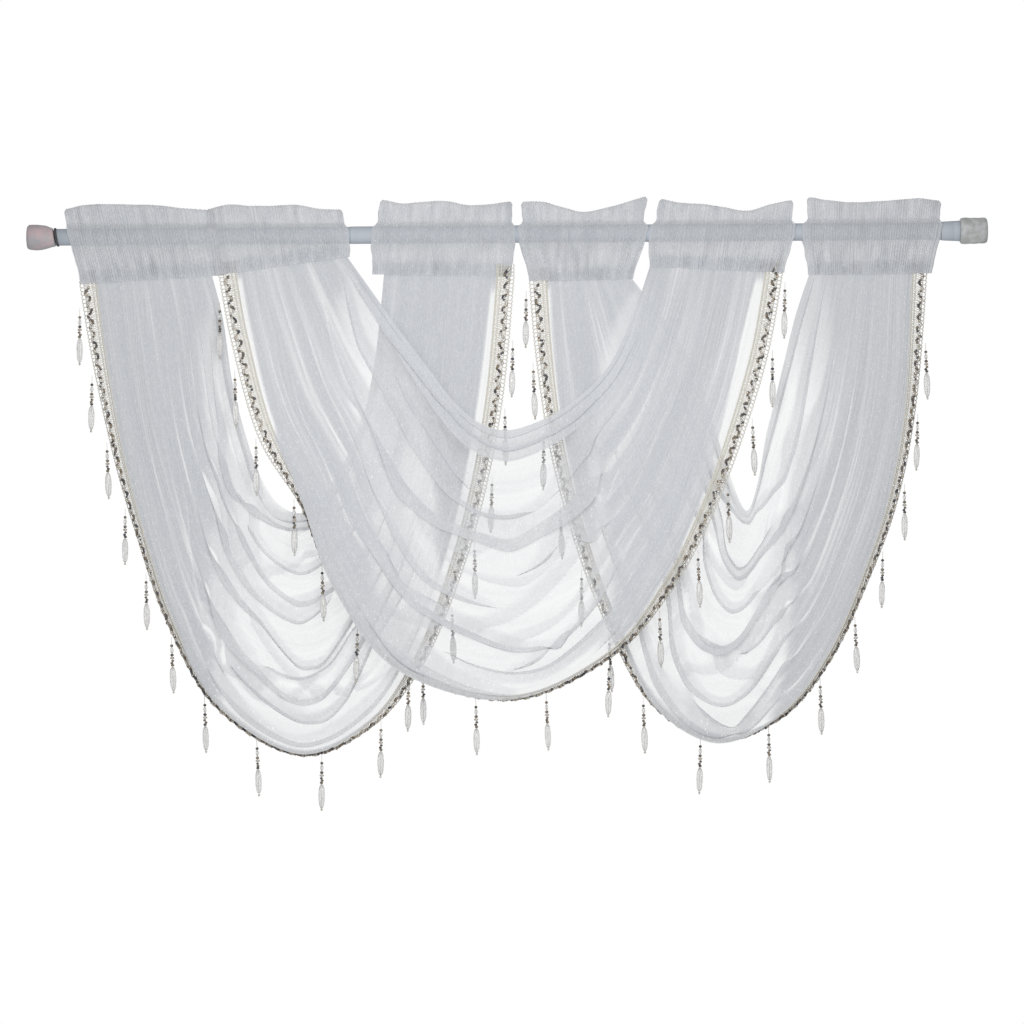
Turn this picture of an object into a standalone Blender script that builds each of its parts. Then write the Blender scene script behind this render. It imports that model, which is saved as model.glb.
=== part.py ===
"""Sheer swag valance on a rod.

Three sheer cloth swags hang from six gathered headings on one plain telescoping rod.
The middle swag hangs in front of the two outer ones. Each swag has a beaded braid along
its lower edge, with bead drops below it.

The origin is the centre of the left end cap's outer face. +X runs along the rod to the
right, -Y is towards the viewer, and +Z is up.
Tables and named sizes are in millimetres. Meshes are made in metres.
"""

import bisect
import math
from typing import NamedTuple

import bmesh
import bpy
from mathutils import Vector

MM = 0.001
GAP = 0.3
MERGE_DISTANCE = 1e-6

# Rod and its ends
ROD_LENGTH = 1373.0
TUBE_RADIUS = 12.5
INNER_TUBE_RADIUS = 12.0
TUBE_JOINT_X = 462.0
ROUND_SIDES = 24
LEFT_CAP_LENGTH = 39.0
LEFT_RING_LENGTH = 6.0
RIGHT_CAP_LENGTH = 39.0
SLEEVE_LENGTH = 27.0

# Profiles of the round pieces: distance along the rod, and radius
LEFT_CAP_PROFILE = ((0, 15.5), (2.5, 17.9), (22, 17.9), (LEFT_CAP_LENGTH, 13.2))
LEFT_RING_PROFILE = ((0, 13.4), (LEFT_RING_LENGTH, 13.4))
SLEEVE_PROFILE = ((0, 13.6), (1.5, 15.0), (SLEEVE_LENGTH, 15.0))
RIGHT_CAP_PROFILE = (
    (0, 17.0),
    (2.5, 18.8),
    (RIGHT_CAP_LENGTH - 3.0, 18.8),
    (RIGHT_CAP_LENGTH, 16.2),
)

# Headings: the rod pocket with its stand-up ruffle
HEADING_COLUMNS = 15
POCKET_BORE_SIDES = 8
POCKET_BORE_RADIUS = 13.95
PANEL_TOP = 45.0
PANEL_HEIGHT = 105.0
SEAM_SHIFT_DEPTH = 50.0
HEADING_WAVES = 6.3
UNEVENNESS = 0.28
UNEVEN_WAVES = 1.7

# Swag cloths
CLOTH_THICKNESS = 1.5
CLOTH_DROP_FROM_HEADING = 0.9
CLOTH_EDGE_GAP = 1.0
FLAT_HEM_START = 0.97
STATION_STEPS = 2
BOTTOM_STATION_STEPS = 3
BOTTOM_STATIONS = range(4, 8)
GATHER_SHARE = 0.42
FOLD_START = 0.06
FOLD_FULL = 0.36
FOLD_TURNS = (-1.0, -0.38, 0.38, 1.0)

# Beaded braid along each hem, and its drops
BRAID_WIDTH = 26.0
BRAID_THICKNESS = 2.6
DROP_ROOT = 3.4
DROP_CLEARANCE = 3.0
DROP_STAND_OFF = 5.0

# The angles in degrees past which an edge stays sharp
ROUND_SHARP_ANGLE = 35.0
HEADING_SHARP_ANGLE = 50.0
CLOTH_SHARP_ANGLE = 80.0


class Station(NamedTuple):
    """A line across a swag's cloth, from the middle of its hem braid to its upper edge.

    hem_y and top_y give how far back the cloth lies. roll is the angle in degrees by which
    the braid turns under.
    """

    hem_x: float
    hem_z: float
    top_x: float
    top_z: float
    hem_y: float
    top_y: float
    roll: float


class Fold(NamedTuple):
    """A cowl fold that runs the length of a swag.

    place and reach are shares of the way from the upper edge to the hem. fullness is how
    far the cloth laps over itself, as a share of the reach, and depth is in millimetres.
    """

    place: float
    reach: float
    fullness: float
    depth: float


class Heading(NamedTuple):
    """A gathered rod pocket: its corners, its top edge and how far back its seam lies."""

    top_left: float
    top_right: float
    bottom_left: float
    bottom_right: float
    seam_left_z: float
    seam_right_z: float
    seam_y: float
    phase: float
    top_heights: tuple


class Swag(NamedTuple):
    """One swag: its stations from the left heading to the right one, folds and drops.

    first_drop and drop_pitch are lengths along the braid's outer edge.
    """

    stations: tuple
    folds: tuple
    first_drop: float
    drop_pitch: float
    drop_count: int


SWAG_LEFT = Swag(
    stations=(
        Station(86, -66.4, 264, -56.1, 2, 2, 15),
        Station(100, -169.5, 279, -118, 4, 4, 32),
        Station(125, -303, 292, -210, 5, 5, 48),
        Station(156, -421, 309, -280, 5, 6, 56),
        Station(199, -551, 328, -338, 4, 6, 60),
        Station(266.5, -671.5, 353, -381, 2, 6, 68),
        Station(384, -741, 387, -397, 0, 6, 76),
        Station(488, -698, 416, -377, 2, 6, 64),
        Station(558, -606, 443, -339, 4, 6, 38),
        Station(606, -490, 466, -291, 4, 6, 18),
        Station(642, -366, 484, -238, 3, 5, 8),
        Station(668, -225, 498, -165, 0, 4, 3),
        Station(684, -60.8, 510, -56.4, -3, 2, 0),
    ),
    folds=(
        Fold(0.10, 0.07, 0.55, 7.0),
        Fold(0.27, 0.07, 0.60, 8.0),
        Fold(0.46, 0.08, 0.70, 9.0),
        Fold(0.68, 0.08, 0.80, 9.5),
        Fold(0.87, 0.07, 0.70, 8.0),
    ),
    first_drop=38.0,
    drop_pitch=98.4,
    drop_count=16,
)

SWAG_MIDDLE = Swag(
    stations=(
        Station(286, -54.0, 458, -31.5, -2, -2, 0),
        Station(304, -148, 492, -80, -26, -27, 0),
        Station(339, -278, 532, -137, -39, -39, 8),
        Station(393, -383, 572, -191, -47, -43, 66),
        Station(439, -498, 608, -238, -50, -44, 78),
        Station(528, -615, 645, -270, -51, -45, 78),
        Station(686, -662, 687, -281, -51, -45, 74),
        Station(826, -603, 740, -264, -51, -45, 66),
        Station(908, -510, 789, -233, -49, -44, 38),
        Station(965, -404, 828, -193, -45, -43, 18),
        Station(1010, -288, 856, -141, -38, -40, 3),
        Station(1046, -170, 875, -92, -26, -29, 0),
        Station(1068, -57.3, 890, -48.0, -2, -2, 0),
    ),
    folds=(
        Fold(0.10, 0.08, 0.75, 9.0),
        Fold(0.30, 0.07, 0.60, 8.0),
        Fold(0.46, 0.07, 0.80, 9.5),
        Fold(0.64, 0.07, 0.60, 8.0),
        Fold(0.86, 0.08, 0.80, 9.5),
    ),
    first_drop=45.0,
    drop_pitch=99.5,
    drop_count=16,
)

SWAG_RIGHT = Swag(
    stations=(
        Station(730, -66.8, 865, -65.0, 7, 4, 0),
        Station(738, -175, 892, -100, 9, 5, 0),
        Station(756, -308, 925, -143, 7, 6, 4),
        Station(790, -442, 954, -201, 6, 6, 12),
        Station(836, -566, 980, -273, 4, 6, 34),
        Station(892, -672, 1003, -348, 2, 6, 68),
        Station(982, -725, 1026, -398, 0, 6, 82),
        Station(1077, -690, 1043, -357, 2, 6, 74),
        Station(1146, -606, 1054, -295, 4, 6, 62),
        Station(1197, -496, 1068, -240, 5, 6, 54),
        Station(1238, -381, 1083, -180, 5, 6, 46),
        Station(1264, -243, 1099, -117, 5, 5, 42),
        Station(1277, -60.1, 1118, -61.0, 3, 3, 30),
    ),
    folds=(
        Fold(0.10, 0.07, 0.50, 7.0),
        Fold(0.29, 0.07, 0.65, 8.0),
        Fold(0.47, 0.07, 0.60, 8.0),
        Fold(0.67, 0.09, 0.85, 10.0),
        Fold(0.87, 0.07, 0.65, 8.0),
    ),
    first_drop=18.0,
    drop_pitch=101.2,
    drop_count=15,
)

SWAGS = {"left": SWAG_LEFT, "middle": SWAG_MIDDLE, "right": SWAG_RIGHT}

# The headings in their order along the rod, each named for its swag and its side
HEADINGS = {
    "left_1": Heading(53, 250, 75, 266, -67, -56, 2, 0.0, (40, 46, 47, 46, 45, 41, 37)),
    "middle_1": Heading(254, 451, 271, 462, -56, -31, -2, 1.9, (38, 45, 43, 43, 44, 38, 37)),
    "left_2": Heading(504, 694, 493, 692, -56, -61, 1, 0.8, (51, 45, 47, 48, 42, 43, 47)),
    "right_1": Heading(708, 886, 716, 868, -67, -65, 5, 2.6, (46, 46, 38, 31, 36, 44, 53)),
    "middle_2": Heading(903, 1093, 889, 1082, -48, -58, -2, 4.1, (49, 43, 41, 36, 31, 40, 46)),
    "right_2": Heading(1116, 1306, 1117, 1293, -61, -60, 3, 3.3, (50, 45, 42, 43, 45, 47, 43)),
}


class Level(NamedTuple):
    """A line along a heading's wall: its height, its half depth and how deep its waves are."""

    height: float
    half_depth: float
    wave: float


# From just under the ruffle's edge down to just above the seam, around the rod
POCKET_LEVELS = (
    Level(17.5, 2.2, 0.4),
    Level(11.5, 11.8, 0.5),
    Level(0.0, 15.8, 0.6),
    Level(-11.5, 11.8, 0.5),
    Level(-21.0, 3.0, 0.5),
)
AXIS_LEVEL = 3
RUFFLE_HALF_DEPTH = 1.6
RUFFLE_WAVE = 3.4
SEAM_HALF_DEPTH = 2.6
SEAM_WAVE = 1.2

# A bead drop from its root down: distance below the root, and half width
DROP_PROFILE = ((7, 1.7), (18, 3.2), (37, 1.7), (55, 4.6), (72, 3.6), (79, 1.2))


def material(name, colour, roughness, metallic=0.0):
    """Make a plain Principled material."""
    made = bpy.data.materials.new(name)
    made.use_nodes = True
    shader = made.node_tree.nodes["Principled BSDF"]
    shader.inputs["Base Color"].default_value = (*colour, 1.0)
    shader.inputs["Roughness"].default_value = roughness
    shader.inputs["Metallic"].default_value = metallic
    return made


def mesh_object(name, bm, made_of, sharp_angle=None):
    """Turn a bmesh into a named object with one material, smooth shaded up to an angle."""
    bmesh.ops.recalc_face_normals(bm, faces=bm.faces)
    mesh = bpy.data.meshes.new(name)
    bm.to_mesh(mesh)
    bm.free()
    mesh.materials.append(made_of)
    if sharp_angle is not None:
        mesh.shade_smooth()
        mesh.set_sharp_from_angle(angle=math.radians(sharp_angle))
    placed = bpy.data.objects.new(name, mesh)
    bpy.context.scene.collection.objects.link(placed)
    return placed


def curve_through(values, position):
    """Read a smooth curve through evenly spaced values at a position counted in steps."""
    last = len(values) - 1
    start = min(int(position), last - 1)
    t = position - start
    before = values[max(start - 1, 0)]
    here, after = values[start], values[start + 1]
    beyond = values[min(start + 2, last)]
    slope_in = (after - before) / 2
    slope_out = (beyond - here) / 2
    return (
        here * (2 * t**3 - 3 * t**2 + 1)
        + slope_in * (t**3 - 2 * t**2 + t)
        + after * (3 * t**2 - 2 * t**3)
        + slope_out * (t**3 - t**2)
    )


def smooth_step(value):
    """Ease from 0 to 1."""
    value = min(max(value, 0.0), 1.0)
    return value * value * (3 - 2 * value)


def turned_piece(name, profile, start_x, made_of):
    """Turn a profile of (distance along the rod, radius) about the rod's axis."""
    bm = bmesh.new()
    outline = [(profile[0][0], 0.0), *profile, (profile[-1][0], 0.0)]
    points = [bm.verts.new(((start_x + x) * MM, 0, r * MM)) for x, r in outline]
    edges = [bm.edges.new(pair) for pair in zip(points, points[1:])]
    bmesh.ops.spin(
        bm,
        geom=points + edges,
        cent=(0, 0, 0),
        axis=(1, 0, 0),
        angle=math.tau,
        steps=ROUND_SIDES,
    )
    bmesh.ops.remove_doubles(bm, verts=bm.verts, dist=MERGE_DISTANCE)
    return mesh_object(name, bm, made_of, ROUND_SHARP_ANGLE)


def build_rod(painted, dark, capping):
    """Build the two tubes of the rod, the sleeve and ring at its ends, and the end caps."""
    turned_piece("end_cap_left", LEFT_CAP_PROFILE, 0.0, capping)
    ring_start = LEFT_CAP_LENGTH + GAP
    turned_piece("end_ring_left", LEFT_RING_PROFILE, ring_start, dark)
    tube_start = ring_start + LEFT_RING_LENGTH + GAP
    inner_length = TUBE_JOINT_X - tube_start
    inner = ((0, INNER_TUBE_RADIUS), (inner_length, INNER_TUBE_RADIUS))
    turned_piece("rod_inner_tube", inner, tube_start, painted)
    outer_start = TUBE_JOINT_X + GAP
    sleeve_start = ROD_LENGTH - RIGHT_CAP_LENGTH - GAP - SLEEVE_LENGTH
    outer_length = sleeve_start - GAP - outer_start
    outer = ((0, TUBE_RADIUS), (outer_length, TUBE_RADIUS))
    turned_piece("rod_outer_tube", outer, outer_start, painted)
    turned_piece("end_sleeve_right", SLEEVE_PROFILE, sleeve_start, painted)
    turned_piece("end_cap_right", RIGHT_CAP_PROFILE, ROD_LENGTH - RIGHT_CAP_LENGTH, capping)


def gather(share, phase):
    """Uneven waves of gathered cloth at a share of the way along a heading."""
    main = math.sin(math.tau * HEADING_WAVES * share + phase)
    uneven = math.sin(math.tau * UNEVEN_WAVES * share + 2 * phase)
    return main * (1 - UNEVENNESS + UNEVENNESS * uneven)


def heading_outline(heading, share):
    """Give the points around a heading's wall at a share of its width, front then back."""
    wave = gather(share, heading.phase)
    top = curve_through(heading.top_heights, share * (len(heading.top_heights) - 1))
    seam = heading.seam_left_z + (heading.seam_right_z - heading.seam_left_z) * share
    levels = (
        Level(top, RUFFLE_HALF_DEPTH, RUFFLE_WAVE),
        *POCKET_LEVELS,
        Level(seam, SEAM_HALF_DEPTH, SEAM_WAVE),
    )
    front, back = [], []
    for level in levels:
        drop = (PANEL_TOP - level.height) / PANEL_HEIGHT
        left = heading.top_left + (heading.bottom_left - heading.top_left) * drop
        right = heading.top_right + (heading.bottom_right - heading.top_right) * drop
        x = left + (right - left) * share
        shift = heading.seam_y * smooth_step(-level.height / SEAM_SHIFT_DEPTH)
        middle = shift + level.wave * wave
        front.append(Vector((x, middle - level.half_depth, level.height)))
        back.append(Vector((x, middle + level.half_depth, level.height)))
    return front + back[::-1]


def build_heading(name, heading, cloth):
    """Build one gathered heading with the bore that the rod goes through."""
    bm = bmesh.new()
    last = HEADING_COLUMNS - 1
    columns = []
    for column in range(HEADING_COLUMNS):
        outline = heading_outline(heading, column / last)
        columns.append([bm.verts.new(point * MM) for point in outline])
    around = len(columns[0])
    for left, right in zip(columns, columns[1:]):
        for i in range(around):
            j = (i + 1) % around
            bm.faces.new((left[i], left[j], right[j], right[i]))
    bores = []
    for column in (columns[0], columns[-1]):
        x = column[AXIS_LEVEL].co.x
        bore = []
        for side in range(POCKET_BORE_SIDES):
            angle = math.tau * (0.25 + side / POCKET_BORE_SIDES)
            y = POCKET_BORE_RADIUS * MM * math.cos(angle)
            z = POCKET_BORE_RADIUS * MM * math.sin(angle)
            bore.append(bm.verts.new((x, y, z)))
        bores.append(bore)
        close_heading_end(bm, column, bore)
    for i in range(POCKET_BORE_SIDES):
        j = (i + 1) % POCKET_BORE_SIDES
        bm.faces.new((bores[0][i], bores[0][j], bores[1][j], bores[1][i]))
    return mesh_object(name, bm, cloth, HEADING_SHARP_ANGLE)


def close_heading_end(bm, wall, bore):
    """Fill a heading's end between its outer wall and the bore.

    Both run from the top down, the wall's front and back apart, and the bore's two halves.
    """
    levels = len(wall) // 2
    front, back = wall[:levels], wall[: levels - 1 : -1]
    bottom = len(bore) // 2
    front_bore = bore[: bottom + 1]
    back_bore = [bore[-i] for i in range(bottom + 1)]
    above_seam = levels - 2
    bm.faces.new((front[0], front[1], back[1], back[0]))
    bm.faces.new((front[1], bore[0], back[1]))
    bm.faces.new((front[above_seam], back[above_seam], bore[bottom]))
    bm.faces.new((front[above_seam], front[-1], back[-1], back[above_seam]))
    for side, half in ((front, front_bore), (back, back_bore)):
        for i in range(1, above_seam):
            bm.faces.new((side[i], side[i + 1], half[i], half[i - 1]))


class Crossing(NamedTuple):
    """A station in space: hem, upper edge, the cloth's lower edge, and across the braid."""

    hem: Vector
    top: Vector
    edge: Vector
    across: Vector


def crossing_at(swag, position):
    """Work out the line across a swag at a position counted in stations."""
    row = Station(*(curve_through(column, position) for column in zip(*swag.stations)))
    top = Vector((row.top_x, row.top_y, row.top_z))
    inward = Vector((row.top_x - row.hem_x, 0, row.top_z - row.hem_z)).normalized()
    roll = math.radians(row.roll)
    across = inward * math.cos(roll) - Vector((0, 1, 0)) * math.sin(roll)
    half = 0.5 * BRAID_WIDTH
    hem = Vector((row.hem_x, row.hem_y + half * math.sin(roll), row.hem_z))
    clear = CLOTH_EDGE_GAP + 0.5 * BRAID_THICKNESS * math.sin(roll)
    edge = hem + across * half + inward * clear
    return Crossing(hem, top, edge, across)


def station_places():
    """List where a swag has a line of points, counted in stations: closer at the bottom."""
    places = []
    for station in range(len(SWAG_LEFT.stations) - 1):
        steps = BOTTOM_STATION_STEPS if station in BOTTOM_STATIONS else STATION_STEPS
        places += [station + step / steps for step in range(steps)]
    return places + [len(SWAG_LEFT.stations) - 1]


def cloth_shares(folds):
    """List the shares across the cloth where it needs a line of points."""
    shares = [0.0]
    for fold in folds:
        shares += [fold.place + fold.reach * turn for turn in FOLD_TURNS]
    return shares + [FLAT_HEM_START, 1.0]


def fold_offset(folds, share, lap, depth_share):
    """Give how far the folds move the cloth: along its own line as a share, and back."""
    slide, back = 0.0, 0.0
    drift_from, depth_from = 0.0, 0.0
    for fold in folds:
        turn = (share - fold.place) / fold.reach
        if turn < -1:
            run = fold.place - fold.reach - drift_from
            back = depth_from - (depth_from + fold.depth) * (share - drift_from) / run
            return slide, back * depth_share
        if turn <= 1:
            slide = -fold.reach * fold.fullness * math.sin(math.pi * turn) * lap
            back = fold.depth * math.sin(math.pi / 2 * turn)
            return slide, back * depth_share
        drift_from, depth_from = fold.place + fold.reach, fold.depth
    back = depth_from * max(FLAT_HEM_START - share, 0.0) / (FLAT_HEM_START - drift_from)
    return slide, back * depth_share


def build_swag_cloth(name, swag, cloth):
    """Build one swag's cloth as a folded sheet."""
    shares = cloth_shares(swag.folds)
    places = station_places()
    bm = bmesh.new()
    rows = []
    for place in places:
        along = place / places[-1]
        crossing = crossing_at(swag, place)
        lap = smooth_step((min(along, 1 - along) - FOLD_START) / (FOLD_FULL - FOLD_START))
        depth_share = GATHER_SHARE + (1 - GATHER_SHARE) * lap
        row = []
        for share in shares:
            slide, back = fold_offset(swag.folds, share, lap, depth_share)
            point = crossing.top.lerp(crossing.edge, share + slide)
            point.y += back
            if along in (0, 1):
                point.z -= CLOTH_DROP_FROM_HEADING
            row.append(bm.verts.new(point * MM))
        rows.append(row)
    for upper, lower in zip(rows, rows[1:]):
        for i in range(len(shares) - 1):
            bm.faces.new((upper[i], lower[i], lower[i + 1], upper[i + 1]))
    placed = mesh_object(name, bm, cloth, CLOTH_SHARP_ANGLE)
    shell = placed.modifiers.new("thickness", "SOLIDIFY")
    shell.thickness = CLOTH_THICKNESS * MM
    shell.offset = 0
    shell.use_quality_normals = True
    return placed


def drop_roots(swag, outer_edge):
    """Place the drops evenly along the braid, clear of its corners, as station positions."""
    distances = [0.0]
    for a, b in zip(outer_edge, outer_edge[1:]):
        distances.append(distances[-1] + (b - a).length)
    roots = []
    for number in range(swag.drop_count):
        distance = swag.first_drop + number * swag.drop_pitch
        segment = bisect.bisect(distances, distance) - 1
        room = DROP_CLEARANCE + DROP_ROOT / 2
        low = distances[segment] + room
        high = distances[segment + 1] - room
        distance = min(max(distance, low), high)
        span = distances[segment + 1] - distances[segment]
        middle = (distance - distances[segment]) / span
        half = DROP_ROOT / 2 / span
        roots.append((segment + middle - half, segment + middle + half))
    return roots


def build_drop(bm, root, across):
    """Draw a bead drop down from the four corners of its root on the braid's outer edge.

    It stands off that edge in the plane of the rod, away from the cloth.
    """
    outward = Vector((-across.x, 0, -across.z)).normalized()
    centre = sum((vert.co for vert in root), Vector()) / len(root)
    middle = centre + outward * DROP_STAND_OFF * MM
    ring = root
    for below, half_width in DROP_PROFILE:
        size = half_width * MM
        corners = ((-size, -size), (-size, size), (size, size), (size, -size))
        here = [
            bm.verts.new((middle.x + x, middle.y + y, middle.z - below * MM))
            for x, y in corners
        ]
        for i in range(len(corners)):
            j = (i + 1) % len(corners)
            bm.faces.new((ring[i], ring[j], here[j], here[i]))
        ring = here
    bm.faces.new(ring)


def build_trim(name, swag, beaded):
    """Build one swag's braid with its bead drops, as one body a little off the cloth."""
    crossings = [crossing_at(swag, place) for place in station_places()]
    steps = len(crossings) - 1
    half = 0.5 * BRAID_WIDTH
    sections = []
    for i, crossing in enumerate(crossings):
        run = crossings[min(i + 1, steps)].hem - crossings[max(i - 1, 0)].hem
        proud = run.cross(crossing.across).normalized() * (0.5 * BRAID_THICKNESS)
        if proud.y > 0:
            proud.negate()
        outer = crossing.hem - crossing.across * half
        inner = crossing.hem + crossing.across * half
        if i in (0, steps):
            proud = Vector((0, -0.5 * BRAID_THICKNESS, 0))
            outer.z -= CLOTH_DROP_FROM_HEADING
            inner.z -= CLOTH_DROP_FROM_HEADING
        sections.append((outer + proud, outer - proud, inner - proud, inner + proud))
    outer_edge = [(section[0] + section[1]) / 2 for section in sections]
    roots = drop_roots(swag, outer_edge)
    places = sorted([float(i) for i in range(steps + 1)] + [p for root in roots for p in root])
    starts = {root[0] for root in roots}
    bm = bmesh.new()
    rings = []
    for place in places:
        i = min(int(place), steps - 1)
        corners = [a.lerp(b, place - i) for a, b in zip(sections[i], sections[i + 1])]
        rings.append([bm.verts.new(corner * MM) for corner in corners])
    bm.faces.new(rings[0])
    bm.faces.new(rings[-1])
    for place, ring, following in zip(places, rings, rings[1:]):
        for i in range(1, len(ring)):
            j = (i + 1) % len(ring)
            bm.faces.new((ring[i], ring[j], following[j], following[i]))
        outer_face = (ring[0], ring[1], following[1], following[0])
        if place in starts:
            build_drop(bm, outer_face, ring[-1].co - ring[0].co)
        else:
            bm.faces.new(outer_face)
    return mesh_object(name, bm, beaded)


def main():
    """Clear the scene and build every piece."""
    for old in list(bpy.data.objects):
        bpy.data.objects.remove(old, do_unlink=True)
    voile = material("white_voile", (0.86, 0.88, 0.90), 0.75)
    beaded = material("cream_braid_with_beads", (0.74, 0.71, 0.64), 0.45)
    painted = material("pale_painted_tube", (0.62, 0.66, 0.70), 0.35)
    dark = material("dark_end_ring", (0.16, 0.16, 0.17), 0.5)
    capping = material("pale_end_cap", (0.83, 0.80, 0.79), 0.5)
    build_rod(painted, dark, capping)
    for name, heading in HEADINGS.items():
        build_heading(f"heading_{name}", heading, voile)
    for name, swag in SWAGS.items():
        build_swag_cloth(f"swag_{name}", swag, voile)
        build_trim(f"trim_{name}", swag, beaded)


main()
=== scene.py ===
"""Looks of the sheer swag valance: cloth, beaded braid, bead drops and rod.

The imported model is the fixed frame. Tables and named sizes are in millimetres, and meshes are
made in metres, with +X along the rod to the right, -Y towards the viewer and +Z up.
"""

import logging
import math
import random
from dataclasses import dataclass, field
from enum import Enum
from typing import Any, Iterable, Sequence

import bpy
import numpy as np
from mathutils import Matrix, Vector, noise

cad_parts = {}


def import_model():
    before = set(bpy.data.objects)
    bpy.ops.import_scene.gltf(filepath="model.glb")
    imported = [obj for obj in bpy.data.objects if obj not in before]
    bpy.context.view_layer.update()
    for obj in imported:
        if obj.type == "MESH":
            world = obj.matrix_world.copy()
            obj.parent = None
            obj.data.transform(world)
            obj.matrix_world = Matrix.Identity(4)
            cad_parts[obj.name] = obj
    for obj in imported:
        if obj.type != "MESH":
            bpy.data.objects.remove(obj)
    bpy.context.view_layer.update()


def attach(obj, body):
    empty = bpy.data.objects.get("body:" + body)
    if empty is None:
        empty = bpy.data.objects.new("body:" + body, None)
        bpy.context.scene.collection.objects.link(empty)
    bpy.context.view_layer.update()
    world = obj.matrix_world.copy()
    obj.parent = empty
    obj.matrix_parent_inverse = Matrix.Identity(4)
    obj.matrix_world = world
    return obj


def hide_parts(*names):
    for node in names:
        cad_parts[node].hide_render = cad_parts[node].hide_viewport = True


MM = 0.001
BODY = "root"
Colour = tuple[float, float, float]

log = logging.getLogger("valance")


def smooth_through(values: np.ndarray, positions: np.ndarray) -> np.ndarray:
    """Read smooth curves through evenly spaced rows of values.

    Args:
        values: One row for each step along the curve.
        positions: Places along the curve, counted in steps.

    Returns:
        One row of values for each position.
    """
    last = len(values) - 1
    start = np.clip(np.floor(positions).astype(int), 0, last - 1)
    t = (positions - start)[:, None]
    before = values[np.maximum(start - 1, 0)]
    here, after = values[start], values[start + 1]
    beyond = values[np.minimum(start + 2, last)]
    slope_in, slope_out = (after - before) / 2, (beyond - here) / 2
    return (
        here * (2 * t**3 - 3 * t**2 + 1)
        + slope_in * (t**3 - 2 * t**2 + t)
        + after * (3 * t**2 - 2 * t**3)
        + slope_out * (t**3 - t**2)
    )


def curve_of(values: Sequence[float], share: np.ndarray) -> np.ndarray:
    """Read a smooth curve through evenly spaced numbers.

    Args:
        values: The numbers, from the curve's start to its end.
        share: Places along the curve, from 0 to 1.

    Returns:
        The curve's value at each place.
    """
    column = np.array(values, float)[:, None]
    return smooth_through(column, share * (len(values) - 1))[:, 0]


def ease(value: np.ndarray) -> np.ndarray:
    """Ease from 0 to 1."""
    value = np.clip(value, 0.0, 1.0)
    return value * value * (3 - 2 * value)


def unit_rows(vectors: np.ndarray) -> np.ndarray:
    """Give the vectors in the last axis a length of 1."""
    return vectors / np.linalg.norm(vectors, axis=-1, keepdims=True)


def soft_noise(first: np.ndarray, second: np.ndarray, seed: float) -> np.ndarray:
    """Read smooth noise, from about -1 to 1, over two arrays of coordinates.

    Args:
        first: The first coordinate, in noise cells.
        second: The second coordinate, of the same shape.
        seed: Which of the endless noise patterns to read.

    Returns:
        The noise, in the shape of the coordinates.
    """
    flat = [
        noise.noise(Vector((a, b, seed))) for a, b in zip(first.ravel(), second.ravel())
    ]
    return np.array(flat).reshape(first.shape) * 1.6


class Signal:
    """A shader value that expressions can be written with. Each operation adds a Math node."""

    def __init__(self, graph: "Graph", socket: bpy.types.NodeSocket) -> None:
        """Wrap a socket of a graph's node."""
        self.graph = graph
        self.socket = socket

    def _math(self, operation: str, *values: Any) -> "Signal":
        """Add a Math node.

        Args:
            operation: The node's operation.
            values: Its inputs, in order, as numbers or signals.

        Returns:
            The node's result.
        """
        inputs = dict(enumerate(values))
        made = self.graph.node("ShaderNodeMath", {"operation": operation}, inputs)
        return Signal(self.graph, made.outputs[0])

    def __add__(self, other: Any) -> "Signal":
        """Add."""
        return self._math("ADD", self, other)

    __radd__ = __add__

    def __sub__(self, other: Any) -> "Signal":
        """Subtract the other value."""
        return self._math("SUBTRACT", self, other)

    def __rsub__(self, other: Any) -> "Signal":
        """Subtract from the other value."""
        return self._math("SUBTRACT", other, self)

    def __mul__(self, other: Any) -> "Signal":
        """Multiply."""
        return self._math("MULTIPLY", self, other)

    __rmul__ = __mul__

    def __rpow__(self, other: Any) -> "Signal":
        """Raise the other value to this one."""
        return self._math("POWER", other, self)

    def __gt__(self, other: Any) -> "Signal":
        """Give 1 where this value is the larger, and 0 elsewhere."""
        return self._math("GREATER_THAN", self, other)

    def __lt__(self, other: Any) -> "Signal":
        """Give 1 where this value is the smaller, and 0 elsewhere."""
        return self._math("LESS_THAN", self, other)

    def least(self, other: Any) -> "Signal":
        """Give the smaller of two values."""
        return self._math("MINIMUM", self, other)

    def most(self, other: Any) -> "Signal":
        """Give the larger of two values."""
        return self._math("MAXIMUM", self, other)

    def spread(self, start: float, gain: float) -> "Signal":
        """Stretch what lies above a start by a gain, and keep it from 0 to 1."""
        return ((self - start) * gain).least(1.0).most(0.0)


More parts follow.
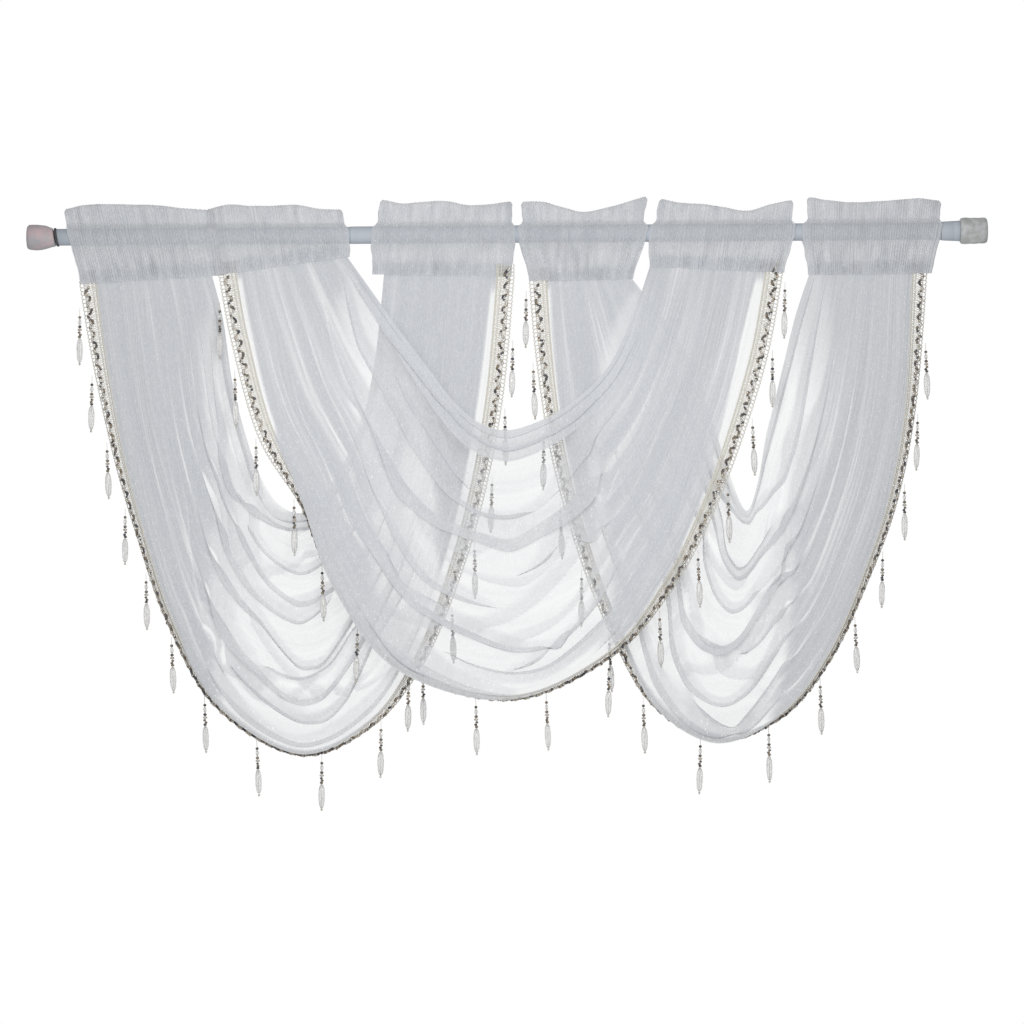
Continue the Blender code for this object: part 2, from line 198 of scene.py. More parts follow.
class Graph:
    """The shader nodes of one material."""

    # A Mix node's sockets for colours come behind those for numbers and vectors.
    mix_colours_in = (6, 7)
    mix_colour_out = 2

    def __init__(self, name: str) -> None:
        """Start a material with an empty node tree and its output."""
        self.material = bpy.data.materials.new(name)
        self.material.use_nodes = True
        self.tree = self.material.node_tree
        self.tree.nodes.clear()
        self.output = self.node("ShaderNodeOutputMaterial")

    def node(
        self,
        kind: str,
        settings: dict[str, Any] | None = None,
        inputs: dict[Any, Any] | None = None,
    ) -> bpy.types.Node:
        """Make a node, then set it up and fill its sockets.

        Args:
            kind: The node's type.
            settings: Its own settings, such as a Math node's operation.
            inputs: A value, a signal or a socket for each input, by name or number.

        Returns:
            The node.
        """
        made = self.tree.nodes.new(kind)
        for key, value in (settings or {}).items():
            setattr(made, key, value)
        for key, value in (inputs or {}).items():
            source = value.socket if isinstance(value, Signal) else value
            if isinstance(source, bpy.types.NodeSocket):
                self.tree.links.new(source, made.inputs[key])
            else:
                made.inputs[key].default_value = source
        return made

    def attribute(self, name: str) -> Signal:
        """Read a number that the piece's mesh holds for each point."""
        made = self.node("ShaderNodeAttribute", {"attribute_name": name})
        return Signal(self, made.outputs["Fac"])

    def placed(self, source: str, scale: Sequence[float]) -> bpy.types.NodeSocket:
        """Read a texture coordinate, scaled.

        Args:
            source: Object or UV.
            scale: The scale along each axis.

        Returns:
            The scaled vector.
        """
        where = self.node("ShaderNodeTexCoord").outputs[source]
        return self.node("ShaderNodeMapping", None, {"Vector": where, "Scale": scale}).outputs[0]

    def noise(self, vector: bpy.types.NodeSocket, scale: float, detail: float = 2.0) -> Signal:
        """Read a Noise texture.

        Args:
            vector: Where to read it.
            scale: Its scale.
            detail: How many finer layers it has.

        Returns:
            The noise, from 0 to 1.
        """
        inputs = {"Vector": vector, "Scale": scale, "Detail": detail}
        return Signal(self, self.node("ShaderNodeTexNoise", None, inputs).outputs[0])

    def mix(self, share: Signal, first: Any, second: Any) -> bpy.types.NodeSocket:
        """Mix two colours.

        Args:
            share: How much of the second colour shows.
            first: A colour or a colour socket.
            second: A colour or a colour socket.

        Returns:
            The mixed colour.
        """
        made = self.node("ShaderNodeMix", {"data_type": "RGBA"}, {0: share})
        for key, value in zip(self.mix_colours_in, (first, second)):
            if isinstance(value, bpy.types.NodeSocket):
                self.tree.links.new(value, made.inputs[key])
            else:
                made.inputs[key].default_value = (*value, 1.0)
        return made.outputs[self.mix_colour_out]

    def bump(self, height: Signal, distance: float, strength: float) -> bpy.types.NodeSocket:
        """Turn a height into a normal.

        Args:
            height: The height, in units of distance.
            distance: How high 1 is, in metres.
            strength: How strongly it shows.

        Returns:
            The normal.
        """
        inputs = {"Height": height, "Distance": distance, "Strength": strength}
        return self.node("ShaderNodeBump", None, inputs).outputs[0]

    def coat(self, inputs: dict[str, Any]) -> bpy.types.NodeSocket:
        """Make a Principled shader with the values or links of its sockets."""
        return self.node("ShaderNodeBsdfPrincipled", None, inputs).outputs[0]

    def blend(self, share: Any, first: Any, second: Any) -> bpy.types.NodeSocket:
        """Mix two shaders, with a share of the second."""
        inputs = {0: share, 1: first, 2: second}
        return self.node("ShaderNodeMixShader", None, inputs).outputs[0]

    def finish(self, shader: bpy.types.NodeSocket) -> bpy.types.Material:
        """Show a shader, and give the material."""
        self.tree.links.new(shader, self.output.inputs["Surface"])
        return self.material


@dataclass(frozen=True)
class Voile:
    """Sheer crinkled voile whose glinting thread shows as painted glint highlights.

    The mesh's cloth_layers says how many flat layers lie gathered at each point. The UV map runs
    across the cloth and along it, in metres of flat cloth. Thin cloth lets more light through
    and is painted paler, as painted light shining through it; gathered cloth is painted darker,
    as painted shade.
    """

    name: str = "sheer_voile"
    thin_backlit_colour: Colour = (0.96, 0.968, 0.985)
    thin_shaded_colour: Colour = (0.89, 0.902, 0.925)
    colour: Colour = (0.78, 0.80, 0.838)
    shaded_colour: Colour = (0.60, 0.625, 0.665)
    painted_glint_colour: Colour = (1.0, 1.0, 1.0)
    layer_cover: float = 0.37
    layer_shade: float = 0.18
    light_through: float = 0.35
    through_colour: Colour = (0.825, 0.84, 0.868)
    crinkles_per_metre: tuple[float, float, float] = (300.0, 62.0, 1.0)
    crinkle_weight: float = 0.7
    streaks_per_metre: tuple[float, float, float] = (38.0, 5.0, 1.0)
    streak_weight: float = 0.3
    wefts_per_metre: tuple[float, float, float] = (14.0, 620.0, 1.0)
    weft_weight: float = 0.1
    grain_per_metre: tuple[float, float, float] = (460.0, 460.0, 170.0)
    grain_weight: float = 0.9
    lit_gain: float = 1.6
    lit_drop: float = 0.3
    glint_cells_per_metre: float = 560.0
    glint_share: float = 0.10
    glint_radius: float = 0.34
    painted_glint_glow: float = 0.3
    glint_gloss: float = 0.5
    roughness: float = 0.78
    specular: float = 0.25
    relief_height: float = 0.0010
    relief_strength: float = 0.7

    def make(self) -> bpy.types.Material:
        """Make the material."""
        graph = Graph(self.name)
        crinkle = graph.noise(graph.placed("UV", self.crinkles_per_metre), 1.0, 3.0)
        grain = graph.noise(graph.placed("Object", self.grain_per_metre), 1.0, 2.0)
        streak = graph.noise(graph.placed("UV", self.streaks_per_metre), 1.0, 2.0)
        weft = graph.noise(graph.placed("UV", self.wefts_per_metre), 1.0, 1.0)
        # Glints: a few small cells become painted highlights, white and glowing though they are
        # no lamp.
        cells = graph.node(
            "ShaderNodeTexVoronoi",
            {"feature": "F1"},
            {"Vector": graph.placed("UV", (1.0, 1.0, 1.0)), "Scale": self.glint_cells_per_metre},
        )
        pick = graph.node("ShaderNodeSeparateColor", None, {0: cells.outputs["Color"]}).outputs[0]
        lucky = Signal(graph, pick) > 1.0 - self.glint_share
        near = Signal(graph, cells.outputs["Distance"]) < self.glint_radius
        glint = lucky * near
        uneven = self.crinkle_weight * crinkle + self.streak_weight * streak
        uneven = uneven + self.weft_weight * weft + self.grain_weight * grain
        layers = graph.attribute("cloth_layers") * uneven
        cover = 1.0 - (1.0 - self.layer_cover) ** layers
        # Painted shade: gathered cloth is painted darker by its layers, and thin cloth paler, as
        # painted light shining through it.
        shade = 1.0 - (1.0 - self.layer_shade) ** layers
        lit = grain * self.lit_gain - self.lit_drop
        thin = graph.mix(lit, self.thin_shaded_colour, self.thin_backlit_colour)
        gathered = graph.mix(lit, self.shaded_colour, self.colour)
        colour = graph.mix(glint, graph.mix(shade, thin, gathered), self.painted_glint_colour)
        height = crinkle * 0.6 + grain * 0.4
        normal = graph.bump(height, self.relief_height, self.relief_strength)
        front = graph.coat({
            "Base Color": colour,
            "Roughness": self.roughness - glint * self.glint_gloss,
            "Normal": normal,
            # The glints' painted glow.
            "Emission Color": graph.mix(glint, (0.0, 0.0, 0.0), self.painted_glint_colour),
            "Emission Strength": self.painted_glint_glow,
            "Specular IOR Level": self.specular,
        })
        back = {"Color": (*self.through_colour, 1.0), "Normal": normal}
        through = graph.node("ShaderNodeBsdfTranslucent", None, back).outputs[0]
        cloth = graph.blend(self.light_through, front, through)
        gaps = graph.node("ShaderNodeBsdfTransparent").outputs[0]
        return graph.finish(graph.blend(cover, gaps, cloth))


@dataclass(frozen=True)
class Thread:
    """Cream braid thread, twisted and a little uneven in colour."""

    name: str = "cream_braid_thread"
    colour: Colour = (0.91, 0.885, 0.81)
    shaded_colour: Colour = (0.66, 0.625, 0.54)
    twists_per_metre: float = 900.0
    twist_weight: float = 0.7
    twist_height: float = 0.0003
    patches_per_metre: float = 160.0
    patch_weight: float = 0.5
    shadow: float = 0.1
    roughness: float = 0.6
    roughness_spread: float = 0.3
    sheen: float = 0.15

    def make(self) -> bpy.types.Material:
        """Make the material."""
        graph = Graph(self.name)
        where = graph.placed("Object", (1.0, 1.0, 1.0))
        twist = graph.noise(where, self.twists_per_metre, 1.0)
        patches = graph.noise(where, self.patches_per_metre, 2.0)
        lit = twist * self.twist_weight + patches * self.patch_weight - self.shadow
        colour = graph.mix(lit.least(1.0), self.shaded_colour, self.colour)
        return graph.finish(graph.coat({
            "Base Color": colour,
            "Roughness": self.roughness + patches * self.roughness_spread,
            "Sheen Weight": self.sheen,
            "Normal": graph.bump(twist, self.twist_height, 0.5),
        }))


@dataclass(frozen=True)
class Bead:
    """A glossy bead finish whose colour wanders from bead to bead."""

    name: str
    first: Colour
    second: Colour
    metallic: float
    roughness: float
    tints_per_metre: float = 240.0
    smudges_per_metre: float = 1400.0
    smudge_roughness: float = 0.12
    coat: float = 0.4
    coat_roughness: float = 0.08

    def make(self) -> bpy.types.Material:
        """Make the material."""
        graph = Graph(self.name)
        where = graph.placed("Object", (1.0, 1.0, 1.0))
        tint = graph.noise(where, self.tints_per_metre, 0.0)
        smudge = graph.noise(where, self.smudges_per_metre, 2.0)
        share = tint.spread(0.35, 3.4)
        return graph.finish(graph.coat({
            "Base Color": graph.mix(share, self.first, self.second),
            "Metallic": self.metallic,
            "Roughness": self.roughness + smudge * self.smudge_roughness,
            "Coat Weight": self.coat,
            "Coat Roughness": self.coat_roughness,
        }))


@dataclass(frozen=True)
class ClearGlass:
    """Clear bead glass, a little cloudy along its length."""

    name: str = "clear_bead_glass"
    clear: Colour = (0.98, 0.985, 0.99)
    cloudy: Colour = (0.86, 0.85, 0.84)
    milky: Colour = (0.97, 0.965, 0.95)
    streaks_per_metre: tuple[float, float, float] = (700.0, 700.0, 60.0)
    least_milk: float = 0.45
    most_milk: float = 0.85
    milk_roughness: float = 0.4
    bending: float = 1.5

    def make(self) -> bpy.types.Material:
        """Make the material."""
        graph = Graph(self.name)
        streaks = graph.noise(graph.placed("Object", self.streaks_per_metre), 1.0, 2.0)
        glass = graph.coat({
            "Base Color": graph.mix(streaks, self.cloudy, self.clear),
            "Roughness": 0.0,
            "Transmission Weight": 1.0,
            "IOR": self.bending,
        })
        milk = graph.coat({"Base Color": (*self.milky, 1.0), "Roughness": self.milk_roughness})
        share = ((streaks - 0.2) * 1.4).most(self.least_milk).least(self.most_milk)
        return graph.finish(graph.blend(share, glass, milk))


@dataclass(frozen=True)
class SmoothCoat:
    """A smooth painted, moulded or rubber surface with faint unevenness."""

    name: str
    colour: Colour
    patch_colour: Colour
    roughness: float
    patches_per_metre: float
    grains_per_metre: float
    grain_height: float
    grain_roughness: float = 0.12

    def make(self) -> bpy.types.Material:
        """Make the material."""
        graph = Graph(self.name)
        where = graph.placed("Object", (1.0, 1.0, 1.0))
        patches = graph.noise(where, self.patches_per_metre, 3.0)
        grain = graph.noise(where, self.grains_per_metre, 2.0)
        share = patches.spread(0.42, 4.0)
        return graph.finish(graph.coat({
            "Base Color": graph.mix(share, self.colour, self.patch_colour),
            "Roughness": self.roughness + grain * self.grain_roughness,
            "Normal": graph.bump(grain, self.grain_height, 0.5),
        }))


class Slot(Enum):
    """The record's material slots."""

    VOILE = "sheer_voile"
    BRAID = "beaded_braid"
    CLEAR = "clear_bead"
    DARK = "dark_bead"
    PAINT = "rod_paint"
    RING = "dark_ring"
    CAP = "end_cap"


def made_of(finish: Any) -> Any:
    """Let a field hold a finish's material, which is made when the finishes are."""
    return field(default_factory=finish.make)


@dataclass
class Finishes:
    """The materials of the whole piece, made once."""

    voile: bpy.types.Material = made_of(Voile())
    thread: bpy.types.Material = made_of(Thread())
    dark: bpy.types.Material = made_of(
        Bead("dark_bead_gloss", (0.05, 0.055, 0.075), (0.27, 0.21, 0.14), 0.2, 0.12)
    )
    silver: bpy.types.Material = made_of(
        Bead("silver_lined_bead", (0.70, 0.69, 0.67), (0.60, 0.53, 0.43), 0.5, 0.16)
    )
    clear: bpy.types.Material = made_of(ClearGlass())
    paint: bpy.types.Material = made_of(SmoothCoat(
        "pale_rod_paint", (0.485, 0.53, 0.585), (0.446, 0.49, 0.545), roughness=0.55,
        patches_per_metre=30.0, grains_per_metre=900.0, grain_height=0.0001,
    ))
    # The ring's near-black colour is partly a dark ring and partly painted shade of the gap
    # between the left cap and the tube.
    rubber: bpy.types.Material = made_of(SmoothCoat(
        "dark_ring_and_gap_shade", (0.05, 0.05, 0.06), (0.09, 0.09, 0.09), roughness=0.55,
        patches_per_metre=200.0, grains_per_metre=2500.0, grain_height=0.0002,
    ))
    # The left cap's paler reddish patches are partly its mottling and partly painted highlight,
    # scattered at random.
    cap_left: bpy.types.Material = made_of(SmoothCoat(
        "pinkish_cap_rubber", (0.42, 0.405, 0.42), (0.56, 0.43, 0.45), roughness=0.5,
        patches_per_metre=70.0, grains_per_metre=1200.0, grain_height=0.0003,
    ))
    cap_right: bpy.types.Material = made_of(SmoothCoat(
        "pale_cap_rubber", (0.43, 0.44, 0.43), (0.57, 0.58, 0.60), roughness=0.5,
        patches_per_metre=110.0, grains_per_metre=1200.0, grain_height=0.0003,
    ))


def new_mesh_object(
    name: str, points: np.ndarray, faces: Sequence[Sequence[int]], finish: bpy.types.Material
) -> bpy.types.Object:
    """Make an object at the origin from points in metres and faces.

    Args:
        name: The piece's name.
        points: One row for each vertex.
        faces: The vertex numbers of each face.
        finish: The piece's material.

    Returns:
        The object, smooth shaded.
    """
    mesh = bpy.data.meshes.new(name)
    mesh.from_pydata(points.tolist(), [], faces)
    mesh.materials.append(finish)
    mesh.shade_smooth()
    made = bpy.data.objects.new(name, mesh)
    bpy.context.scene.collection.objects.link(made)
    return made


def show(piece: bpy.types.Object, nodes: Iterable[str] = ()) -> bpy.types.Object:
    """Let a finished piece ride on the valance's body, and report it.

    Args:
        piece: The piece.
        nodes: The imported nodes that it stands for.

    Returns:
        The piece.
    """
    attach(piece, BODY)
    if nodes:
        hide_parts(*nodes)
    log.info("%s: %d faces", piece.name, len(piece.data.polygons))
    return piece


class Bench:
    """A modelling bench for small hard pieces, made with primitives and edit-mode tools."""

    @staticmethod
    def clear() -> None:
        """Deselect everything."""
        bpy.ops.object.select_all(action="DESELECT")

    @staticmethod
    def finished(name: str, finish: bpy.types.Material, angle: float) -> bpy.types.Object:
        """Name the active object, dress it and put its place into its mesh.

        Args:
            name: Its name.
            finish: Its material.
            angle: The angle in degrees past which an edge stays sharp.

        Returns:
            The object.
        """
        made = bpy.context.object
        bpy.ops.object.transform_apply(location=True, rotation=True, scale=True)
        made.name = name
        made.data.name = name
        made.data.materials.clear()
        made.data.materials.append(finish)
        bpy.ops.object.shade_smooth_by_angle(angle=math.radians(angle))
        return made

    @classmethod
    def turned(
        cls,
        name: str,
        profile: Sequence[tuple[float, float]],
        finish: bpy.types.Material,
        axis: Vector = Vector((1, 0, 0)),
        sides: int = 64,
        angle: float = 40.0,
    ) -> bpy.types.Object:
        """Draw a round piece from ring to ring with extrude and resize, and close its ends.

        Args:
            name: Its name.
            profile: The place along the axis and the radius of each ring, in metres.
            finish: Its material.
            axis: The axis that it is turned about, through the origin.
            sides: How many sides each ring has.
            angle: The angle in degrees past which an edge stays sharp.

        Returns:
            The object.
        """
        cls.clear()
        turn = Vector((0, 0, 1)).rotation_difference(axis).to_euler()
        start, radius = profile[0]
        bpy.ops.mesh.primitive_circle_add(
            vertices=sides,
            radius=radius,
            fill_type="NGON",
            location=axis * start,
            rotation=turn,
        )
        bpy.ops.object.mode_set(mode="EDIT")
        bpy.ops.mesh.select_all(action="SELECT")
        for place, width in profile[1:]:
            bpy.ops.mesh.extrude_region_move(
                TRANSFORM_OT_translate={"value": axis * (place - start)}
            )
            grow = width / radius
            bpy.ops.transform.resize(value=(grow, grow, grow), center_override=axis * place)
            start, radius = place, width
        bpy.ops.mesh.select_all(action="SELECT")
        bpy.ops.mesh.normals_make_consistent(inside=False)
        bpy.ops.object.mode_set(mode="OBJECT")
        return cls.finished(name, finish, angle)

    @classmethod
    def rounded(
        cls, name: str, segments: int, rings: int, size: Sequence[float]
    ) -> bpy.types.Object:
        """Make a unit bead from a sphere, flattened where its hole is.

        Args:
            name: Its name.
            segments: How many sides it has.
            rings: How many rings it has from pole to pole.
            size: Its half size along each axis, in metres.

        Returns:
            The bead, at the origin, with its hole along Z.
        """
        cls.clear()
        bpy.ops.mesh.primitive_uv_sphere_add(segments=segments, ring_count=rings, radius=1.0)
        made = bpy.context.object
        made.name = name
        made.scale = size
        bpy.ops.object.transform_apply(location=False, rotation=False, scale=True)
        return made

    @classmethod
    def rod_unit(cls, name: str, sides: int) -> bpy.types.Object:
        """Make a thin straight thread, 1 m long and 1 m in radius, to be scaled and copied.

        Args:
            name: Its name.
            sides: How many sides it has.

        Returns:
            The thread, along Z, centred at the origin.
        """
        cls.clear()
        bpy.ops.mesh.primitive_cylinder_add(vertices=sides, radius=1.0, depth=1.0)
        made = bpy.context.object
        made.name = name
        return made

    @staticmethod
    def cord(name: str, points: np.ndarray, radius: float) -> bpy.types.Object:
        """Sweep a four-sided thread along points, as a bevelled curve turned into a mesh.

        Args:
            name: Its name.
            points: The points that it follows, in metres.
            radius: Its radius, in metres.

        Returns:
            The mesh object.
        """
        curve = bpy.data.curves.new(name, "CURVE")
        curve.dimensions = "3D"
        curve.bevel_depth = radius
        curve.bevel_resolution = 0
        curve.use_fill_caps = True
        spline = curve.splines.new("POLY")
        spline.points.add(len(points) - 1)
        padded = np.concatenate([points, np.ones((len(points), 1))], axis=1)
        spline.points.foreach_set("co", padded.ravel())
        made = bpy.data.objects.new(name, curve)
        bpy.context.scene.collection.objects.link(made)
        Bench.clear()
        made.select_set(True)
        bpy.context.view_layer.objects.active = made
        bpy.ops.object.convert(target="MESH")
        return bpy.context.object


class Gathering:
    """Collects placed copies of small units, and joins them into one piece."""

    def __init__(self) -> None:
        """Start with nothing."""
        self.points: list[np.ndarray] = []
        self.faces: list[list[int]] = []
        self.count = 0

    def add(self, unit: bpy.types.Object, place: Matrix | None = None) -> None:
        """Add a copy of a unit's mesh.

        Args:
            unit: The object whose mesh is copied.
            place: Where the copy goes, or None for where the unit is.
        """
        mesh = unit.data
        flat = np.empty(len(mesh.vertices) * 3)
        mesh.vertices.foreach_get("co", flat)
        points = flat.reshape(-1, 3)
        if place is not None:
            matrix = np.array(place)
            points = points @ matrix[:3, :3].T + matrix[:3, 3]
        self.points.append(points)
        start = self.count
        self.faces += [[start + i for i in face.vertices] for face in mesh.polygons]
        self.count += len(points)

    def join(self, name: str, finish: bpy.types.Material) -> bpy.types.Object:
        """Join the copies.

        Args:
            name: The joined piece's name.
            finish: Its material.

        Returns:
            The joined piece.
        """
        return new_mesh_object(name, np.concatenate(self.points), self.faces, finish)


def between(start: np.ndarray, end: np.ndarray, radius: float) -> Matrix:
    """Place a unit thread from one point to another.

    Args:
        start: Its first end, in metres.
        end: Its other end, in metres.
        radius: Its radius, in metres.

    Returns:
        The thread's place.
    """
    run = Vector(end) - Vector(start)
    turn = Vector((0, 0, 1)).rotation_difference(run).to_matrix().to_4x4()
    size = Matrix.Diagonal((radius, radius, run.length, 1.0))
    return Matrix.Translation((Vector(start) + Vector(end)) / 2) @ turn @ size


@dataclass(frozen=True)
class Pleat:
    """A fold of the cloth over itself, from one point of its line to the last.

    Each point is a station, a share of the way from the upper edge to the hem and how wide
    the cloth laps over itself there, in millimetres. depth is its depth as a share of that
    width. It is negative where the lap opens upwards, and 0 where a fold only shows through
    the cloth in front of it. Past its ends the fold runs out over run_out stations, and its
    line is evened out over soften stations on either side.
    """

    points: tuple[tuple[float, float, float], ...]
    depth: float = 0.34
    run_out: float = 0.5
    soften: float = 0.09

    def at(self, places: np.ndarray) -> tuple[np.ndarray, np.ndarray]:
        """Read the fold's line.

        Args:
            places: Where, counted in stations.

        Returns:
            The share and the lap's width at each place.
        """
        stations, shares, widths = np.array(self.points).T
        first, last = stations[0] - self.run_out, stations[-1] + self.run_out
        stations = np.concatenate([[first], stations, [last]])
        shares = np.concatenate([shares[:1], shares, shares[-1:]])
        widths = np.concatenate([[0.0], widths, [0.0]])
        spots = [places + self.soften * step for step in (-1.0, -0.5, 0.0, 0.5, 1.0)]
        share = sum(np.interp(spot, stations, shares) for spot in spots) / len(spots)
        width = sum(np.interp(spot, stations, widths) for spot in spots) / len(spots)
        return share, width


@dataclass(frozen=True)
class Heading:
    """The shape of one gathered rod pocket.

    top_left to bottom_right are its corners' places along the rod, seam_left_z and
    seam_right_z the heights of its seam's ends, seam_y how far back the seam lies and
    top_heights the heights of its ruffle's top from left to right. bulge is how far its left
    and right ends swell round the rod, and tuck how far they run on under its neighbours.
    All are in millimetres. phase is where its folds start. layers is how many flat layers
    lie gathered in it, and side_hems how many times as many lie in its side hems.
    """

    top_left: float
    top_right: float
    bottom_left: float
    bottom_right: float
    seam_left_z: float
    seam_right_z: float
    seam_y: float
    phase: float
    top_heights: tuple[float, ...]
    bulge: tuple[float, float] = (1.0, 1.0)
    layers: float = 2.3
    tuck: tuple[float, float] = (0.0, 0.0)
    side_hems: tuple[float, float] = (1.3, 1.3)


@dataclass(frozen=True)
class SwagPlan:
    """The shape of one swag.

    A station is hem x, hem z, upper edge x, upper edge z, hem y, upper edge y and the angle
    in degrees by which the braid turns under. Six tables hold a value for each station.
    dense_from is the share across the cloth past which it is gathered thick, and lined is
    how far its pleats are open, from 0 to 1. The others are in millimetres: top_roll is the
    width of the rolled upper edge, hem_band that of the thick band beside the hem, strip
    that of the thin strip beside the braid, and veil is how far the cloth falls over the
    braid. gathered_layers is how many flat layers lie where the cloth is gathered thick,
    roll_layers how many more lie in the rolled upper edge. flat is the flat cloth's length
    along the hem and its depth, in metres. first_drop is where the first bead drop hangs and
    drop_pitch their spacing, in millimetres along the hem. seed picks the noise.
    """

    stations: tuple[tuple[float, ...], ...]
    pleats: tuple[Pleat, ...]
    dense_from: tuple[float, ...]
    top_roll: tuple[float, ...]
    hem_band: tuple[float, ...]
    strip: tuple[float, ...]
    veil: tuple[float, ...]
    lined: tuple[float, ...]
    gathered_layers: float
    roll_layers: float
    flat: tuple[float, float]
    first_drop: float
    drop_pitch: float
    drop_count: int
    seed: float
    cut_share: float = 0.7

    @property
    def cut_area(self) -> float:
        """The flat cloth's area in square metres: a trapezoid with its long side at the hem."""
        return self.cut_share * self.flat[0] * self.flat[1]


LEFT = SwagPlan(
    stations=(
        (86, -66.4, 264, -56.1, 2, 2, 15),
        (100, -169.5, 279, -118, 4, 4, 32),
        (125, -303, 292, -210, 5, 5, 48),
        (156, -421, 309, -280, 5, 6, 56),
        (199, -551, 328, -338, 4, 6, 60),
        (266.5, -671.5, 353, -381, 2, 6, 68),
        (384, -741, 387, -397, 0, 6, 76),
        (488, -698, 416, -377, 2, 6, 64),
        (558, -606, 443, -339, 4, 6, 38),
        (606, -490, 466, -291, 4, 6, 18),
        (642, -366, 484, -238, 3, 5, 8),
        (668, -225, 498, -165, 0, 4, 3),
        (684, -60.8, 510, -56.4, -3, 2, 0),
    ),
    pleats=(
        Pleat(((0.3, 0.05, 4), (1.5, 0.05, 7), (3.4, 0.05, 6), (4.2, 0.06, 4), (5, 0.06, 4),
            (6, 0.035, 4), (7, 0.05, 5), (9, 0.06, 8), (11.5, 0.06, 5))),
        Pleat(((0.8, 0.11, 0), (3, 0.21, 5), (3.6, 0.2, 9), (4.2, 0.165, 12), (4.8, 0.11, 8),
            (5.4, 0.085, 5), (6, 0.065, 4), (6.6, 0.08, 5), (7.4, 0.12, 8), (8.6, 0.16, 12),
            (11.2, 0.2, 4))),
        Pleat(((1.5, 0.21, 4), (3, 0.25, 8), (3.9, 0.225, 8), (4.6, 0.23, 5), (5.2, 0.24, 4),
            (6, 0.255, 4), (6.9, 0.25, 5), (7.6, 0.26, 9), (9, 0.3, 9), (11, 0.3, 4))),
        Pleat(((1.2, 0.3, 5), (2.6, 0.34, 12), (3.6, 0.32, 12), (4.2, 0.295, 10), (4.8, 0.31, 8),
            (5.3, 0.35, 7), (6, 0.385, 7), (6.6, 0.38, 6), (7.1, 0.39, 8), (8, 0.42, 12),
            (10, 0.42, 8), (11.5, 0.4, 3))),
        Pleat(((1, 0.41, 5), (2.4, 0.43, 12), (3.4, 0.42, 14), (4.1, 0.42, 15), (4.7, 0.43, 12),
            (5.2, 0.445, 6), (6, 0.465, 4), (6.7, 0.42, 3), (7, 0.4, 0))),
        Pleat(((1, 0.51, 5), (2.4, 0.53, 12), (3.4, 0.545, 16), (4.2, 0.56, 18), (4.8, 0.53, 10),
            (5.3, 0.53, 5), (5.6, 0.58, 4), (6, 0.655, 4), (6.4, 0.66, 5), (6.8, 0.6, 5),
            (7.3, 0.55, 8), (8.5, 0.55, 12), (11, 0.52, 5))),
        Pleat(((1, 0.62, 5), (2.4, 0.65, 12), (3.4, 0.67, 18), (4.2, 0.69, 24), (4.6, 0.715, 22),
            (5, 0.725, 14), (5.4, 0.745, 10), (5.7, 0.785, 8), (6, 0.8, 8), (6.35, 0.795, 8),
            (6.8, 0.73, 9), (7.2, 0.68, 12), (8.5, 0.66, 14), (11, 0.64, 5)), 0.3),
        Pleat(((5, 0.66, 0), (5.4, 0.695, 4), (5.7, 0.705, 4), (6, 0.7, 4), (6.5, 0.68, 4),
            (7, 0.61, 5), (7.6, 0.6, 0)), -0.3),
        Pleat(((4.8, 0.81, 0), (5.3, 0.83, 4), (5.6, 0.85, 5), (6, 0.88, 4), (6.4, 0.895, 4),
            (6.7, 0.86, 5), (7.1, 0.77, 8), (7.4, 0.73, 10), (8.5, 0.76, 12), (11, 0.76, 4))),
        Pleat(((1, 0.75, 4), (2.5, 0.78, 10), (3.5, 0.8, 14), (4.2, 0.81, 16), (4.7, 0.84, 8),
            (5, 0.88, 0))),
        Pleat(((0.5, 0.94, 2), (3.5, 0.91, 10), (4.2, 0.905, 16), (4.8, 0.93, 12),
            (5.3, 0.955, 8), (6, 0.965, 5), (6.8, 0.96, 6), (7.6, 0.95, 8), (9, 0.93, 8),
            (11.5, 0.95, 2))),
        Pleat(((3.2, 0.6, 6), (4.4, 0.8, 12), (5.4, 0.9, 14), (6.2, 0.9, 10), (6.9, 0.84, 5)), 0),
        Pleat(((4.6, 0.5, 0), (5.2, 0.6, 10), (6, 0.75, 12), (6.8, 0.86, 8), (7.6, 0.92, 0)), 0),
        Pleat(((4.4, 0.9, 0), (5.2, 0.86, 8), (6, 0.78, 10), (6.8, 0.64, 10), (7.6, 0.5, 5)), 0),
        Pleat(((3.6, 0.34, 4), (4.6, 0.4, 10), (5.4, 0.32, 8), (6.2, 0.2, 6), (6.8, 0.22, 0)), 0),
    ),
    dense_from=(-0.3, 0.12, 0.2, 0.3, 0.5, 0.93, 1.3, 1.25, 1.1, 0.85, 0.55, 0.2, -0.3),
    top_roll=(4, 10, 18, 24, 27, 27, 26, 22, 14, 10, 10, 8, 3),
    hem_band=(0, 0, 0, 0, 3, 7, 6, 3, 0, 0, 0, 0, 0),
    strip=(0.0, 0.0, 0.0, 0.0, 0.0, 0.0, 0.0, 1.5, 9.0, 11.0, 11.0, 9.0, 5.0),
    veil=(0.0, 0.0, 0.0, 0.0, 0.0, 1.5, 2.5, 1.0, 0.0, 0.0, 0.0, 0.0, 0.0),
    lined=(1, 1, 1, 1, 1, 1, 1, 0.8, 0.3, 0, 0, 0, 0),
    gathered_layers=13.0,
    roll_layers=0.9,
    flat=(1.50, 0.38),
    first_drop=38.0,
    drop_pitch=97.2,
    drop_count=16,
    seed=3.7,
)

